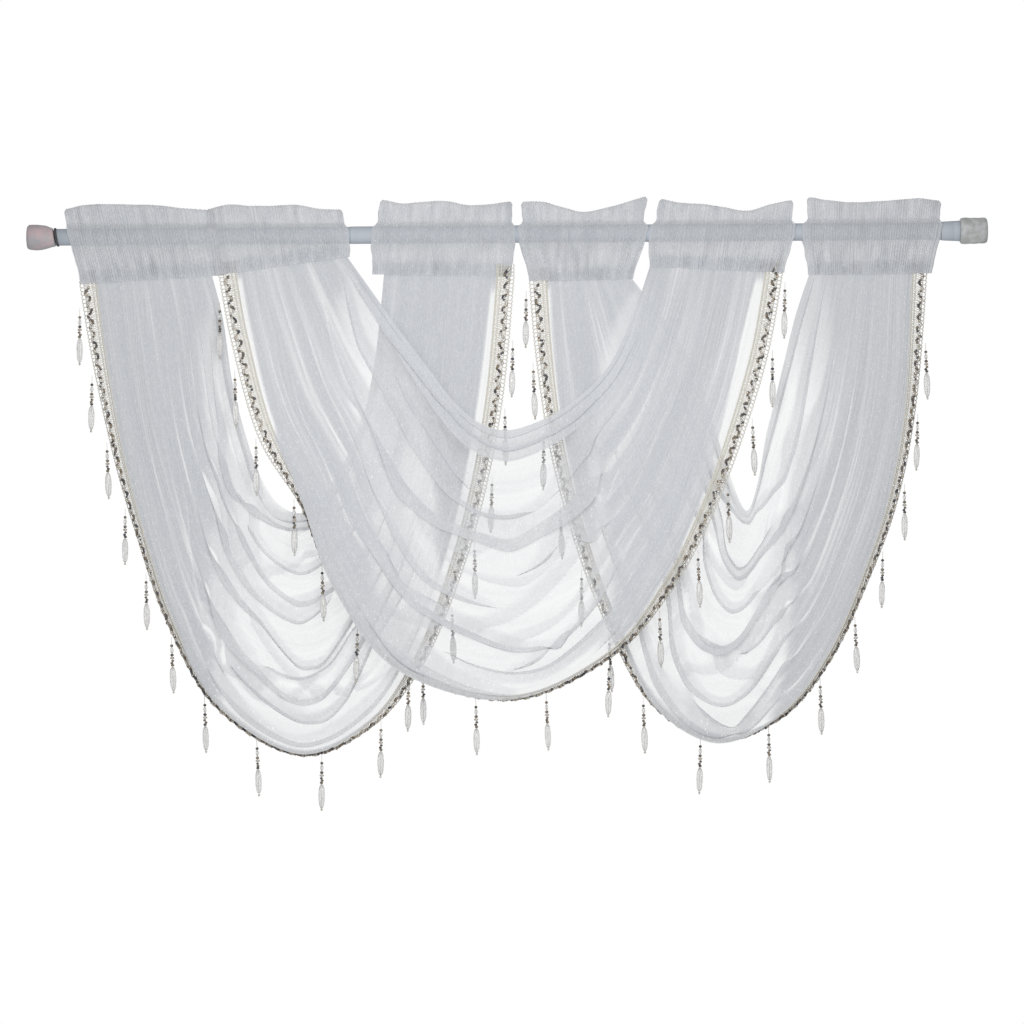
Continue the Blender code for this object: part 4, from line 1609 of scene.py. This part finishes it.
@dataclass
class RodPocket:
    """One gathered heading: cloth around the rod, with a stand-up ruffle above it.

    A share runs along the heading, from 0 at its left end to 1 at its right one.
    """

    name: str
    shape: Heading
    columns: int = 345
    rows: int = 30
    fullness: float = 1.70
    cut_height: float = 0.22

    # The panel's ends, from the ruffle's top down to the seam.
    panel_top: float = 45.0
    panel_height: float = 105.0
    corner: float = 5.0
    tuck_share: float = 0.16
    tuck_thinning: float = 1.2
    full_tuck: float = 6.0
    side_waver: float = 1.0
    waver_cell: float = 13.0
    bulge_top: float = 18.0
    bulge_top_fade: float = 9.0
    bulge_bottom: float = -58.0
    bulge_bottom_fade: float = 52.0
    bulge_sharpness: int = 5

    # The gathers and the main folds across the heading.
    gathers: float = 56.0
    folds: float = 6.3
    fold_beat: float = 1.7
    sideways: float = 0.5
    ruffle_fray: float = 0.45
    closed_top: float = 2.5
    closed_share: float = 0.15

    # The layers of its hems.
    side_hem_width: float = 12.0
    side_hem_fade: float = 3.0
    hem_height: float = 13.0
    hem_fade: float = 5.0
    hem_fray: float = 0.5
    hem_layers: float = 2.2

    # Upwards: the height, the half depth, and the depths of the gathers and the main folds.
    profile = (
        (-70.0, 2.2, 1.3, 1.2),
        (-58.0, 2.6, 1.4, 1.2),
        (-40.0, 3.6, 1.7, 0.9),
        (-24.0, 5.0, 1.5, 0.6),
        (-16.0, 9.0, 1.3, 0.5),
        (-9.0, 13.0, 1.1, 0.5),
        (0.0, 15.2, 1.1, 0.6),
        (9.0, 13.0, 1.1, 0.5),
        (14.0, 8.0, 1.0, 0.5),
        (17.5, 2.4, 0.8, 0.4),
        (21.0, 2.6, 1.2, 0.8),
        (30.0, 3.2, 1.6, 2.2),
        (60.0, 2.6, 1.7, 3.4),
    )

    def _tucked(self, share: np.ndarray) -> tuple[np.ndarray, np.ndarray]:
        """Work out how far the heading's ends run on under its neighbours.

        Args:
            share: How far along the heading each column is, from 0 to 1.

        Returns:
            How far each column moves to the left and to the right, in millimetres.
        """
        left, right = self.shape.tuck
        near_left = ease((self.tuck_share - share) / self.tuck_share)
        near_right = ease((share - (1 - self.tuck_share)) / self.tuck_share)
        return left * near_left, right * near_right

    def _uneven_sides(self, share: np.ndarray, height: np.ndarray) -> np.ndarray:
        """Work out how the heading's ends bulge below the ruffle and waver.

        Args:
            share: How far along the heading each column is, from 0 to 1.
            height: The height of each point, in millimetres.

        Returns:
            How far each point moves to the right, in millimetres.
        """
        below_top = ease((self.bulge_top - height) / self.bulge_top_fade)
        above_seam = ease((height - self.bulge_bottom) / self.bulge_bottom_fade)
        out_left, out_right = (out * below_top * above_seam for out in self.shape.bulge)
        cells, level = height / self.waver_cell, np.zeros_like(height)
        left = self.side_waver * soft_noise(cells, level, self.shape.phase + 21.0) - out_left
        right = self.side_waver * soft_noise(cells, level, self.shape.phase + 27.0) + out_right
        return left * (1 - share) ** self.bulge_sharpness + right * share**self.bulge_sharpness

    @property
    def cut(self) -> tuple[float, float]:
        """The width and height of the flat cloth that is gathered up, in metres."""
        width = (self.shape.top_right - self.shape.top_left) * MM
        return width * self.fullness, self.cut_height

    def surface(self) -> tuple[np.ndarray, np.ndarray, np.ndarray]:
        """Work out the heading's points, up its front, over its top and down its back.

        Returns:
            The points in metres, by row and column, the layers at each and the flat cloth's
            coordinates in metres.
        """
        shape = self.shape
        share = np.linspace(0, 1, self.columns)[None, :]
        rise = np.linspace(0, 1, self.rows)[:, None]
        from_end = np.minimum(share, 1 - share) * (shape.top_right - shape.top_left)
        rounded = self.corner * (1 - np.minimum(from_end / self.corner, 1.0)) ** 2
        top = curve_of(shape.top_heights, share[0])[None, :] - rounded
        seam = shape.seam_left_z + (shape.seam_right_z - shape.seam_left_z) * share
        height = seam + (top - seam) * rise
        drop = (self.panel_top - height) / self.panel_height
        left = shape.top_left + (shape.bottom_left - shape.top_left) * drop
        right = shape.top_right + (shape.bottom_right - shape.top_right) * drop
        points = self._points(share, height, top, left, right)
        layers = self._layers(share, height - seam, right - left)
        around = np.linspace(0, self.cut[1], 2 * self.rows)
        flat = np.stack(np.meshgrid(share[0] * self.cut[0], around), axis=-1)
        return points * MM, np.concatenate([layers, layers[::-1]], axis=0), flat

    def _points(
        self,
        share: np.ndarray,
        height: np.ndarray,
        top: np.ndarray,
        left: np.ndarray,
        right: np.ndarray,
    ) -> np.ndarray:
        """Place the points of the heading's front and of its back.

        Args:
            share: How far along the heading each column is, from 0 to 1.
            height: The height of each point of the front.
            top: The height of each column's top.
            left: Where the panel's left end is at each point.
            right: Where its right end is.

        Returns:
            The points in millimetres, the front's rows upwards and then the back's downwards.
        """
        phase = self.shape.phase
        level = np.zeros_like(share)
        stray = soft_noise(share * 14.0, level, phase + 2.0)
        fine = np.sin(math.tau * self.gathers * share + 4.0 * stray)
        main = np.sin(math.tau * self.folds * share + phase)
        main = main * (0.72 + 0.28 * np.sin(math.tau * self.fold_beat * share + 2 * phase))
        heights, depths, fines, mains = np.array(self.profile).T
        open_top = ease((top - height) / self.closed_top)
        half = np.interp(height, heights, depths)
        half = half * (self.closed_share + (1 - self.closed_share) * open_top)
        drift = soft_noise(share * 24.0 + 0 * height, height / 30.0, phase + 6.0)
        seam_back = self.shape.seam_y * ease(-height / 50)
        middle = seam_back + np.interp(height, heights, mains) * main
        crimp = np.interp(height, heights, fines) * (0.7 + 0.5 * drift)
        uneven = self._uneven_sides(share, height)
        to_left, to_right = self._tucked(share)
        x = left + (right - left) * share + self.sideways * drift + uneven - to_left + to_right
        half = half - self.tuck_thinning * ease((to_left + to_right) / self.full_tuck)
        height = height + self.ruffle_fray * fine * (1 - open_top)
        front = np.stack([x, middle - half + crimp * fine, height], axis=-1)
        behind = np.roll(fine, 3, axis=1)
        back = np.stack([x, middle + half + crimp * behind, height], axis=-1)
        return np.concatenate([front, back[::-1]], axis=0)

    def _layers(self, share: np.ndarray, above_seam: np.ndarray, width: np.ndarray) -> np.ndarray:
        """Work out how many flat layers of cloth lie gathered at each point of the front.

        Args:
            share: How far along the heading each column is, from 0 to 1.
            above_seam: How far each point is above the seam, in millimetres.
            width: How wide the panel is at each point, in millimetres.

        Returns:
            The number of layers.
        """
        shape = self.shape
        from_side = np.minimum(share, 1 - share) * width - self.side_hem_width
        side_hem = 1 - ease((from_side + self.side_hem_fade) / self.side_hem_fade)
        weight = np.where(share < 0.5, shape.side_hems[0], shape.side_hems[1])
        fray = self.hem_fray * soft_noise(share * 60.0, np.zeros_like(share), shape.phase + 12.0)
        hem = 1 - ease((above_seam - self.hem_height) / self.hem_fade + fray)
        return shape.layers * (1 + (weight - 1) * side_hem) + self.hem_layers * hem

    def build(self, finishes: Finishes) -> bpy.types.Object:
        """Build the heading.

        Args:
            finishes: The materials.

        Returns:
            The heading's cloth.
        """
        points, layers, flat = self.surface()
        piece = cloth_object(f"cloth_heading_{self.name}", points, layers, flat, finishes.voile)
        show(piece, [f"heading_{self.name}"])
        return piece


@dataclass
class BeadedTrim:
    """The ladder braid along a swag's hem, its beads and its bead drops.

    Sizes are in millimetres. Across the braid, the cloth's side is positive.
    """

    name: str
    plan: SwagPlan
    hem: Hem

    # The braid's lines, from its scalloped outer edge to the edge beside the cloth.
    outer_edge: float = -10.6
    band_half: float = 6.2
    inner_edge: float = 12.4
    inner_pair: float = 1.6
    scallop_pitch: float = 5.6
    scallop_depth: float = 1.7
    scallop_step: float = 1.1
    line_step: float = 6.0
    cord_radius: float = 0.75
    band_radius: float = 0.6
    pair_radius: float = 0.5

    # The rungs and the crossed net between the lines.
    rung_pitch: float = 5.6
    rung_radius: float = 0.62
    rung_slant: float = 0.8
    net_pitch: float = 2.7
    net_slant: float = 4.0
    inner_net_share: float = 0.6
    net_radius: float = 0.42
    pitch_waver: float = 0.5
    slant_waver: float = 0.6

    # The chain of beads that winds along the band.
    wave_period: float = 16.7
    wave_start: float = 0.3
    wave_middle: float = -2.0
    wave_half: float = 3.3
    beads_per_wave: int = 8
    bead_radius: float = 2.15
    bead_sizes: tuple[float, float] = (0.8, 1.2)
    bead_tips: tuple[float, float] = (0.9, 2.2)
    bead_waver: float = 0.45
    bead_proud: float = 2.2
    silver_shares: tuple[float, float] = (0.2, 0.75)
    silver_edges: tuple[float, float] = (0.35, 0.65)

    # The drops, which lean and sway by a few degrees.
    drop_line: float = -13.0
    drop_stand_off: float = 5.0
    drop_lean: tuple[float, float] = (-2.5, 2.5)
    drop_sway: tuple[float, float] = (-3.0, 1.0)

    def _line(self, across: float, step: float, wave: float) -> np.ndarray:
        """Give the points of a thread along the braid.

        Args:
            across: How far towards the cloth it runs, in millimetres.
            step: The distance between points, in millimetres.
            wave: How deep its scallops are, in millimetres.

        Returns:
            The points, in metres.
        """
        distance = np.arange(self.hem.distance[0], self.hem.length, step)
        scallop = wave * np.abs(np.sin(np.pi * distance / self.scallop_pitch))
        return self.hem.at(distance, across - scallop, np.zeros(len(distance)))

    def _rungs(
        self,
        threads: Gathering,
        unit: bpy.types.Object,
        pitch: float,
        radius: float,
        slant: float,
        start: float,
        end: float,
    ) -> None:
        """Add the rungs between two lines of the braid.

        Args:
            threads: Where they are collected.
            unit: The unit thread.
            pitch: Their spacing, in millimetres.
            radius: Their radius, in millimetres.
            slant: How far along the braid each runs on, in millimetres.
            start: How far towards the cloth they begin, in millimetres.
            end: How far towards the cloth they end, in millimetres.
        """
        draw = random.Random(f"{self.name}{start}{slant}")
        low_end = self.hem.distance[0] + max(pitch, -slant) + 1.0
        distance = np.arange(low_end, self.hem.length - max(pitch, slant) - 1.0, pitch)
        waver, level = self.pitch_waver, np.zeros(len(distance))
        distance = distance + np.array([draw.uniform(-waver, waver) for _ in distance])
        waver = self.slant_waver
        slant = slant + np.array([draw.uniform(-waver, waver) for _ in distance])
        low = self.hem.at(distance, level + start, level)
        high = self.hem.at(distance + slant, level + end, level)
        for here, there in zip(low, high):
            threads.add(unit, between(here, there, radius * MM))

    def _wave(self, count: int) -> tuple[np.ndarray, np.ndarray, np.ndarray]:
        """Place the beads of the chain that winds along the braid.

        Args:
            count: How many beads there are.

        Returns:
            How far along the braid and how far across it each lies, in millimetres, and how
            far towards the cloth it lies in the wave, from 0 to 1.
        """
        step = np.arange(count) / self.beads_per_wave
        swing = np.cos(math.tau * step)
        distance = (step + self.wave_start) * self.wave_period
        return distance, self.wave_middle + self.wave_half * swing, (1 + swing) / 2

    def build(self, finishes: Finishes, units: "BeadUnits") -> list[bpy.types.Object]:
        """Build the braid, its beads and its drops.

        Args:
            finishes: The materials.
            units: The unit beads and threads.

        Returns:
            The pieces.
        """
        threads, dark, silver, clear = Gathering(), Gathering(), Gathering(), Gathering()
        self._add_threads(threads, units.thread)
        draw = random.Random(f"beads {self.name}")
        self._add_beads(dark, silver, units.bead, draw)
        for root in self._drop_roots():
            lean = Matrix.Rotation(math.radians(draw.uniform(*self.drop_lean)), 4, "Y")
            sway = Matrix.Rotation(math.radians(draw.uniform(*self.drop_sway)), 4, "X")
            spin = Matrix.Rotation(draw.uniform(0, math.tau), 4, "Z")
            place = Matrix.Translation(root) @ lean @ sway @ spin
            threads.add(units.drop_thread, place)
            dark.add(units.drop_dark, place)
            silver.add(units.drop_silver, place)
            clear.add(units.drop_clear, place)
        braid = threads.join(f"braid_{self.name}", finishes.thread)
        show(braid, [f"trim_{self.name}"])
        return [
            braid,
            show(dark.join(f"dark_beads_{self.name}", finishes.dark)),
            show(silver.join(f"silver_beads_{self.name}", finishes.silver)),
            show(clear.join(f"clear_beads_{self.name}", finishes.clear)),
        ]

    def _add_threads(self, threads: Gathering, unit: bpy.types.Object) -> None:
        """Add the braid's lines, rungs and net.

        Args:
            threads: Where they are collected.
            unit: The unit thread.
        """
        outer, inner, band = self.outer_edge, self.inner_edge, self.band_half
        lines = (
            (outer, self.scallop_step, self.scallop_depth, self.cord_radius),
            (-band, self.line_step, 0.0, self.band_radius),
            (band, self.line_step, 0.0, self.band_radius),
            (inner - self.inner_pair, self.line_step, 0.0, self.pair_radius),
            (inner, self.line_step, 0.0, self.cord_radius),
        )
        for across, step, wave, radius in lines:
            cord = Bench.cord("braid_line", self._line(across, step, wave), radius * MM)
            threads.add(cord)
            bpy.data.objects.remove(cord)
        rung, net = self.rung_radius, self.net_radius
        self._rungs(threads, unit, self.rung_pitch, rung, self.rung_slant, outer, -band)
        for slant in (-self.net_slant, self.net_slant):
            self._rungs(threads, unit, self.net_pitch, net, slant, -band, band)
            slant *= self.inner_net_share
            self._rungs(threads, unit, self.net_pitch, net, slant, band, inner)

    def _add_beads(
        self, dark: Gathering, silver: Gathering, unit: bpy.types.Object, draw: random.Random
    ) -> None:
        """Add the chain of beads, with more silver ones on its outer bends.

        Args:
            dark: Where the dark beads are collected.
            silver: Where the silver beads are collected.
            unit: The unit bead.
            draw: The random draws.
        """
        waves = self.hem.length / self.wave_period - 2 * self.wave_start
        distance, across, inward = self._wave(int(waves * self.beads_per_wave))
        distance = distance + self.bead_waver * np.array([draw.gauss(0, 1) for _ in distance])
        across = across + self.bead_waver * np.array([draw.gauss(0, 1) for _ in across])
        proud = np.full(len(distance), self.bead_proud)
        silver_shares = np.interp(inward, self.silver_edges, self.silver_shares[::-1])
        for place, silver_share in zip(self.hem.at(distance, across, proud), silver_shares):
            spin = Matrix.Rotation(draw.uniform(0, math.pi), 4, "Z")
            tip = Matrix.Rotation(draw.uniform(*self.bead_tips), 4, "X")
            size = Matrix.Scale(self.bead_radius * MM * draw.uniform(*self.bead_sizes), 4)
            chosen = silver if draw.random() < silver_share else dark
            chosen.add(unit, Matrix.Translation(place) @ spin @ tip @ size)

    def _drop_roots(self) -> np.ndarray:
        """Place the drops evenly along the braid's outer edge.

        Returns:
            Where each drop hangs from, in metres.
        """
        distance = np.arange(0.0, self.hem.length, 1.0)
        level = np.zeros(len(distance))
        edge = self.hem.at(distance, level + self.drop_line, level)
        steps = np.linalg.norm(np.diff(edge, axis=0), axis=1) / MM
        along = np.concatenate([[0.0], np.cumsum(steps)])
        wanted = self.plan.first_drop + self.plan.drop_pitch * np.arange(self.plan.drop_count)
        middle = np.interp(wanted, along, distance)
        level = np.zeros(len(middle))
        roots = self.hem.at(middle, level + self.drop_line, level)
        away = roots - self.hem.at(middle, level, level)
        away[:, 1] = 0.0
        return roots + unit_rows(away) * self.drop_stand_off * MM


@dataclass
class BeadUnits:
    """The unit beads and threads, each modelled once and then copied."""

    thread: bpy.types.Object
    bead: bpy.types.Object
    drop_thread: bpy.types.Object
    drop_dark: bpy.types.Object
    drop_silver: bpy.types.Object
    drop_clear: bpy.types.Object

    # Down a drop's thread: how far below its root, the radius, the half length and how far
    # aside a bead lies. The glass has pairs of how far below and the radius.
    dark_beads = (
        (9.0, 2.3, 2.1, 0.0),
        (22.4, 2.6, 2.2, 0.0),
        (30.6, 2.2, 1.7, 0.9),
        (33.9, 2.3, 1.8, -1.0),
        (37.0, 2.5, 1.9, 0.4),
    )
    silver_beads = ((26.7, 3.3, 1.8, 0.0), (75.6, 1.6, 1.7, 0.0))
    bicone = ((11.6, 0.7), (13.2, 1.9), (15.8, 2.7), (18.2, 1.9), (19.8, 0.7))
    barrel = (
        (39.2, 1.2),
        (41.0, 2.6),
        (45.5, 4.0),
        (52.0, 4.6),
        (61.0, 4.5),
        (68.0, 3.7),
        (72.0, 2.4),
        (73.6, 1.2),
    )
    strand_ends = (4.0, -78.0)
    strand_radius = 0.35

    @classmethod
    def make(cls, finishes: Finishes) -> "BeadUnits":
        """Model the units.

        Args:
            finishes: The materials.

        Returns:
            The units.
        """
        thread = Bench.rod_unit("unit_thread", sides=4)
        bead = Bench.rounded("unit_bead", segments=6, rings=4, size=(1.0, 1.0, 0.8))
        fine = Bench.rounded("unit_drop_bead", segments=10, rings=6, size=(1.0, 1.0, 1.0))
        dark, silver, clear, strand = Gathering(), Gathering(), Gathering(), Gathering()
        for chosen, beads in ((dark, cls.dark_beads), (silver, cls.silver_beads)):
            for below, radius, half, aside in beads:
                size = Matrix.Diagonal((radius * MM, radius * MM, half * MM, 1.0))
                chosen.add(fine, Matrix.Translation((aside * MM, 0, -below * MM)) @ size)
        down = Vector((0, 0, -1))
        for number, profile in enumerate((cls.bicone, cls.barrel)):
            rings = [(below * MM, radius * MM) for below, radius in profile]
            name = f"unit_glass_{number}"
            glass = Bench.turned(name, rings, finishes.clear, down, sides=8, angle=10.0)
            clear.add(glass)
            bpy.data.objects.remove(glass)
        top, bottom = (np.array([0.0, 0.0, end]) * MM for end in cls.strand_ends)
        strand.add(thread, between(top, bottom, cls.strand_radius * MM))
        made = cls(
            thread,
            bead,
            strand.join("unit_drop_thread", finishes.thread),
            dark.join("unit_drop_dark", finishes.dark),
            silver.join("unit_drop_silver", finishes.silver),
            clear.join("unit_drop_clear", finishes.clear),
        )
        bpy.data.objects.remove(fine)
        return made

    def clear_away(self) -> None:
        """Remove the units once all copies are made."""
        for unit in vars(self).values():
            bpy.data.objects.remove(unit)


@dataclass
class CurtainRod:
    """The two-part rod with its soft end caps, thin dark ring and thicker sleeve. The ring's
    near-black colour is partly painted shade of the gap at the left cap's end.

    Sizes are in millimetres, and slant is how far the left cap's end and the ring lean.
    """

    length: float = 1373.0
    cap_length: float = 39.0
    ring_length: float = 3.6
    ring_clear: float = 1.2
    tube_in_ring: float = 1.0
    sleeve_length: float = 27.0
    joint_x: float = 462.0
    joint_overlap: float = 40.0
    gap: float = 0.3
    lump: float = 1.0
    lumps_per_metre: float = 90.0
    lump_edge: float = 3.0
    slant: float = 0.16
    slant_length: float = 12.0

    def _soften(self, piece: bpy.types.Object, seed: float) -> None:
        """Make a soft cap slightly lumpy.

        Args:
            piece: The cap.
            seed: Which lumps it gets.
        """
        low, high = piece.bound_box[0][0], piece.bound_box[6][0]
        for vertex in piece.data.vertices:
            inside = min(vertex.co.x - low, high - vertex.co.x) / (self.lump_edge * MM)
            lump = noise.noise(vertex.co * self.lumps_per_metre + Vector((seed, 0, 0)))
            radial = Vector((0, vertex.co.y, vertex.co.z))
            if radial.length > 1e-6:
                share = min(max(inside, 0.0), 1.0)
                vertex.co += radial.normalized() * (lump * self.lump * MM * share)

    def build(self, finishes: Finishes) -> list[bpy.types.Object]:
        """Build the rod.

        Args:
            finishes: The materials.

        Returns:
            Its pieces.
        """
        cap = self.cap_length

        # Each profile has pairs of a place along the rod and a radius.
        left_cap = (
            (0, 12.0), (0.4, 14.6), (1.6, 16.6), (3.6, 17.7), (9, 17.9), (15, 18.0), (21, 17.8),
            (26, 16.9), (31, 15.4), (35, 14.2), (cap - 1.0, 13.6), (cap, 12.4),
        )
        ring_start = cap + self.gap + self.ring_clear
        ring_end = ring_start + self.ring_length
        ring = (
            (ring_start, 12.6), (ring_start + 0.7, 13.3), (ring_start + 3.0, 13.4),
            (ring_end - 0.7, 13.3), (ring_end, 12.6),
        )
        tube_start = ring_start + self.tube_in_ring
        inner = (
            (tube_start, 11.6), (tube_start + 0.5, 12.0),
            (self.joint_x - self.joint_overlap, 12.0), (self.joint_x, 12.0),
        )
        sleeve_start = self.length - cap - self.gap - self.sleeve_length
        outer_start = self.joint_x + self.gap
        outer = (
            (outer_start, 12.1), (outer_start + 0.4, 12.5), (outer_start + 4.0, 12.5),
            (outer_start + 4.6, 12.35), (outer_start + 5.4, 12.35), (outer_start + 6.0, 12.5),
            (sleeve_start - self.gap, 12.5),
        )
        sleeve_end = sleeve_start + self.sleeve_length
        sleeve = (
            (sleeve_start, 12.8), (sleeve_start + 0.8, 13.3), (sleeve_start + 2.0, 13.5),
            (sleeve_end - 9.0, 14.3), (sleeve_end - 8.6, 14.1), (sleeve_end - 8.2, 14.3),
            (sleeve_end - 0.6, 14.8), (sleeve_end, 14.4),
        )
        start = self.length - cap
        right_cap = (
            (start, 15.6), (start + 0.6, 17.2), (start + 2.4, 18.6), (start + 8, 18.9),
            (start + 14, 18.5), (start + 20, 18.9), (start + 27, 18.6), (start + 33, 18.7),
            (start + 36.5, 17.9), (start + 38.4, 16.4), (self.length, 14.0),
        )
        parts = (
            ("cap_left", left_cap, finishes.cap_left, Slot.CAP, "end_cap_left"),
            ("ring_left", ring, finishes.rubber, Slot.RING, "end_ring_left"),
            ("rod_inner", inner, finishes.paint, Slot.PAINT, "rod_inner_tube"),
            ("rod_outer", outer, finishes.paint, Slot.PAINT, "rod_outer_tube"),
            ("sleeve_right", sleeve, finishes.paint, Slot.PAINT, "end_sleeve_right"),
            ("cap_right", right_cap, finishes.cap_right, Slot.CAP, "end_cap_right"),
        )
        pieces = []
        for name, profile, finish, slot, node in parts:
            rings = [(place * MM, radius * MM) for place, radius in profile]
            pieces.append(show(Bench.turned(name, rings, finish), [node]))
        self._soften(pieces[0], 3.0)
        self._soften(pieces[-1], 8.0)
        self._slant(pieces[0], cap - self.slant_length)
        self._slant(pieces[1], 0.0)
        return pieces

    def _slant(self, piece: bpy.types.Object, start: float) -> None:
        """Let a piece lean along the rod, its top towards the left end.

        Args:
            piece: The piece.
            start: Where the lean starts to grow, in millimetres along the rod.
        """
        for vertex in piece.data.vertices:
            share = min(max((vertex.co.x / MM - start) / self.slant_length, 0.0), 1.0)
            vertex.co.x -= self.slant * vertex.co.z * share


@dataclass
class Studio:
    """The camera, the soft light, the white surround and the pale floor."""

    picture_width: float = 1.4643
    aim: tuple[float, float, float] = (0.6907, 0.0, -0.3974)
    distance: float = 7.0
    sensor: float = 36.0
    roll: float = 0.4056
    surround: float = 0.45
    floor_z: float = -1.30
    floor_radius: float = 1.45

    def camera(self) -> None:
        """Set the camera square to the rod, from far in front, turned as the photo is."""
        data = bpy.data.cameras.new("camera")
        data.sensor_width = self.sensor
        data.lens = self.sensor * self.distance / self.picture_width
        camera = bpy.data.objects.new("camera", data)
        turn = math.radians(self.roll)
        right = Vector((math.cos(turn), 0, -math.sin(turn)))
        up = Vector((math.sin(turn), 0, math.cos(turn)))
        back = right.cross(up)
        place = Vector(self.aim) + back * self.distance
        camera.matrix_world = Matrix((
            (right.x, up.x, back.x, place.x),
            (right.y, up.y, back.y, place.y),
            (right.z, up.z, back.z, place.z),
            (0, 0, 0, 1),
        ))
        bpy.context.scene.collection.objects.link(camera)
        bpy.context.scene.camera = camera

    def surroundings(self) -> None:
        """Make a white surround that shows as white, and lights the cloth more softly."""
        world = bpy.data.worlds.new("white_surround")
        bpy.context.scene.world = world
        world.use_nodes = True
        nodes, links = world.node_tree.nodes, world.node_tree.links
        nodes.clear()
        path = nodes.new("ShaderNodeLightPath")
        seen = nodes.new("ShaderNodeMath")
        seen.operation = "MAXIMUM"
        links.new(path.outputs["Is Camera Ray"], seen.inputs[0])
        links.new(path.outputs["Is Singular Ray"], seen.inputs[1])
        strength = nodes.new("ShaderNodeMapRange")
        strength.inputs["To Min"].default_value = self.surround
        strength.inputs["To Max"].default_value = 1.0
        links.new(seen.outputs[0], strength.inputs["Value"])
        light = nodes.new("ShaderNodeBackground")
        light.inputs["Color"].default_value = (1.0, 1.0, 1.0, 1.0)
        links.new(strength.outputs[0], light.inputs["Strength"])
        output = nodes.new("ShaderNodeOutputWorld")
        links.new(light.outputs[0], output.inputs["Surface"])

    def lamp(self, name: str, place: Sequence[float], size: float, power: float) -> None:
        """Add a soft square lamp that points at the valance's middle.

        Args:
            name: Its name.
            place: Where it is, in metres.
            size: Its side, in metres.
            power: Its power, in watts.
        """
        data = bpy.data.lights.new(name, "AREA")
        data.size = size
        data.energy = power
        lamp = bpy.data.objects.new(name, data)
        lamp.location = place
        toward = Vector(self.aim) - Vector(place)
        lamp.rotation_euler = toward.to_track_quat("-Z", "Y").to_euler()
        bpy.context.scene.collection.objects.link(lamp)

    def floor(self) -> None:
        """Lay a plain pale floor well below the valance."""
        Bench.clear()
        bpy.ops.mesh.primitive_circle_add(
            vertices=96,
            radius=self.floor_radius,
            fill_type="NGON",
            location=(self.aim[0], 0, self.floor_z),
        )
        graph = Graph("pale_floor")
        speckle = graph.noise(graph.placed("Object", (1.0, 1.0, 1.0)), 60.0, 2.0)
        colour = graph.mix(speckle, (0.92, 0.92, 0.92), (0.95, 0.95, 0.95))
        finish = graph.finish(graph.coat({"Base Color": colour, "Roughness": 0.8}))
        Bench.finished("floor", finish, 30.0)

    def build(self) -> None:
        """Set up the whole studio."""
        scene = bpy.context.scene
        scene.view_settings.view_transform = "Standard"
        scene.view_settings.look = "None"
        scene.cycles.use_denoising = True
        scene.cycles.transparent_max_bounces = 32
        scene.cycles.max_bounces = 6
        scene.cycles.diffuse_bounces = 2
        scene.cycles.glossy_bounces = 3
        scene.cycles.transmission_bounces = 6
        self.camera()
        self.surroundings()
        self.lamp("key", place=(0.64, -1.5, 0.0), size=0.9, power=13.0)
        self.floor()


def main() -> None:
    """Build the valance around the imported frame, piece by piece."""
    logging.basicConfig(level=logging.INFO, format="%(name)s %(message)s")
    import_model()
    Studio().build()
    finishes = Finishes()
    CurtainRod().build(finishes)
    for name, shape in HEADINGS.items():
        RodPocket(name, shape).build(finishes)
    units = BeadUnits.make(finishes)
    for name, plan in (("left", LEFT), ("middle", MIDDLE), ("right", RIGHT)):
        swag = Swag(name, plan)
        cloth = swag.build(finishes)
        trim = BeadedTrim(name, plan, swag.hem()).build(finishes, units)
    units.clear_away()
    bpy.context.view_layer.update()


if __name__ == "__main__":
    main()
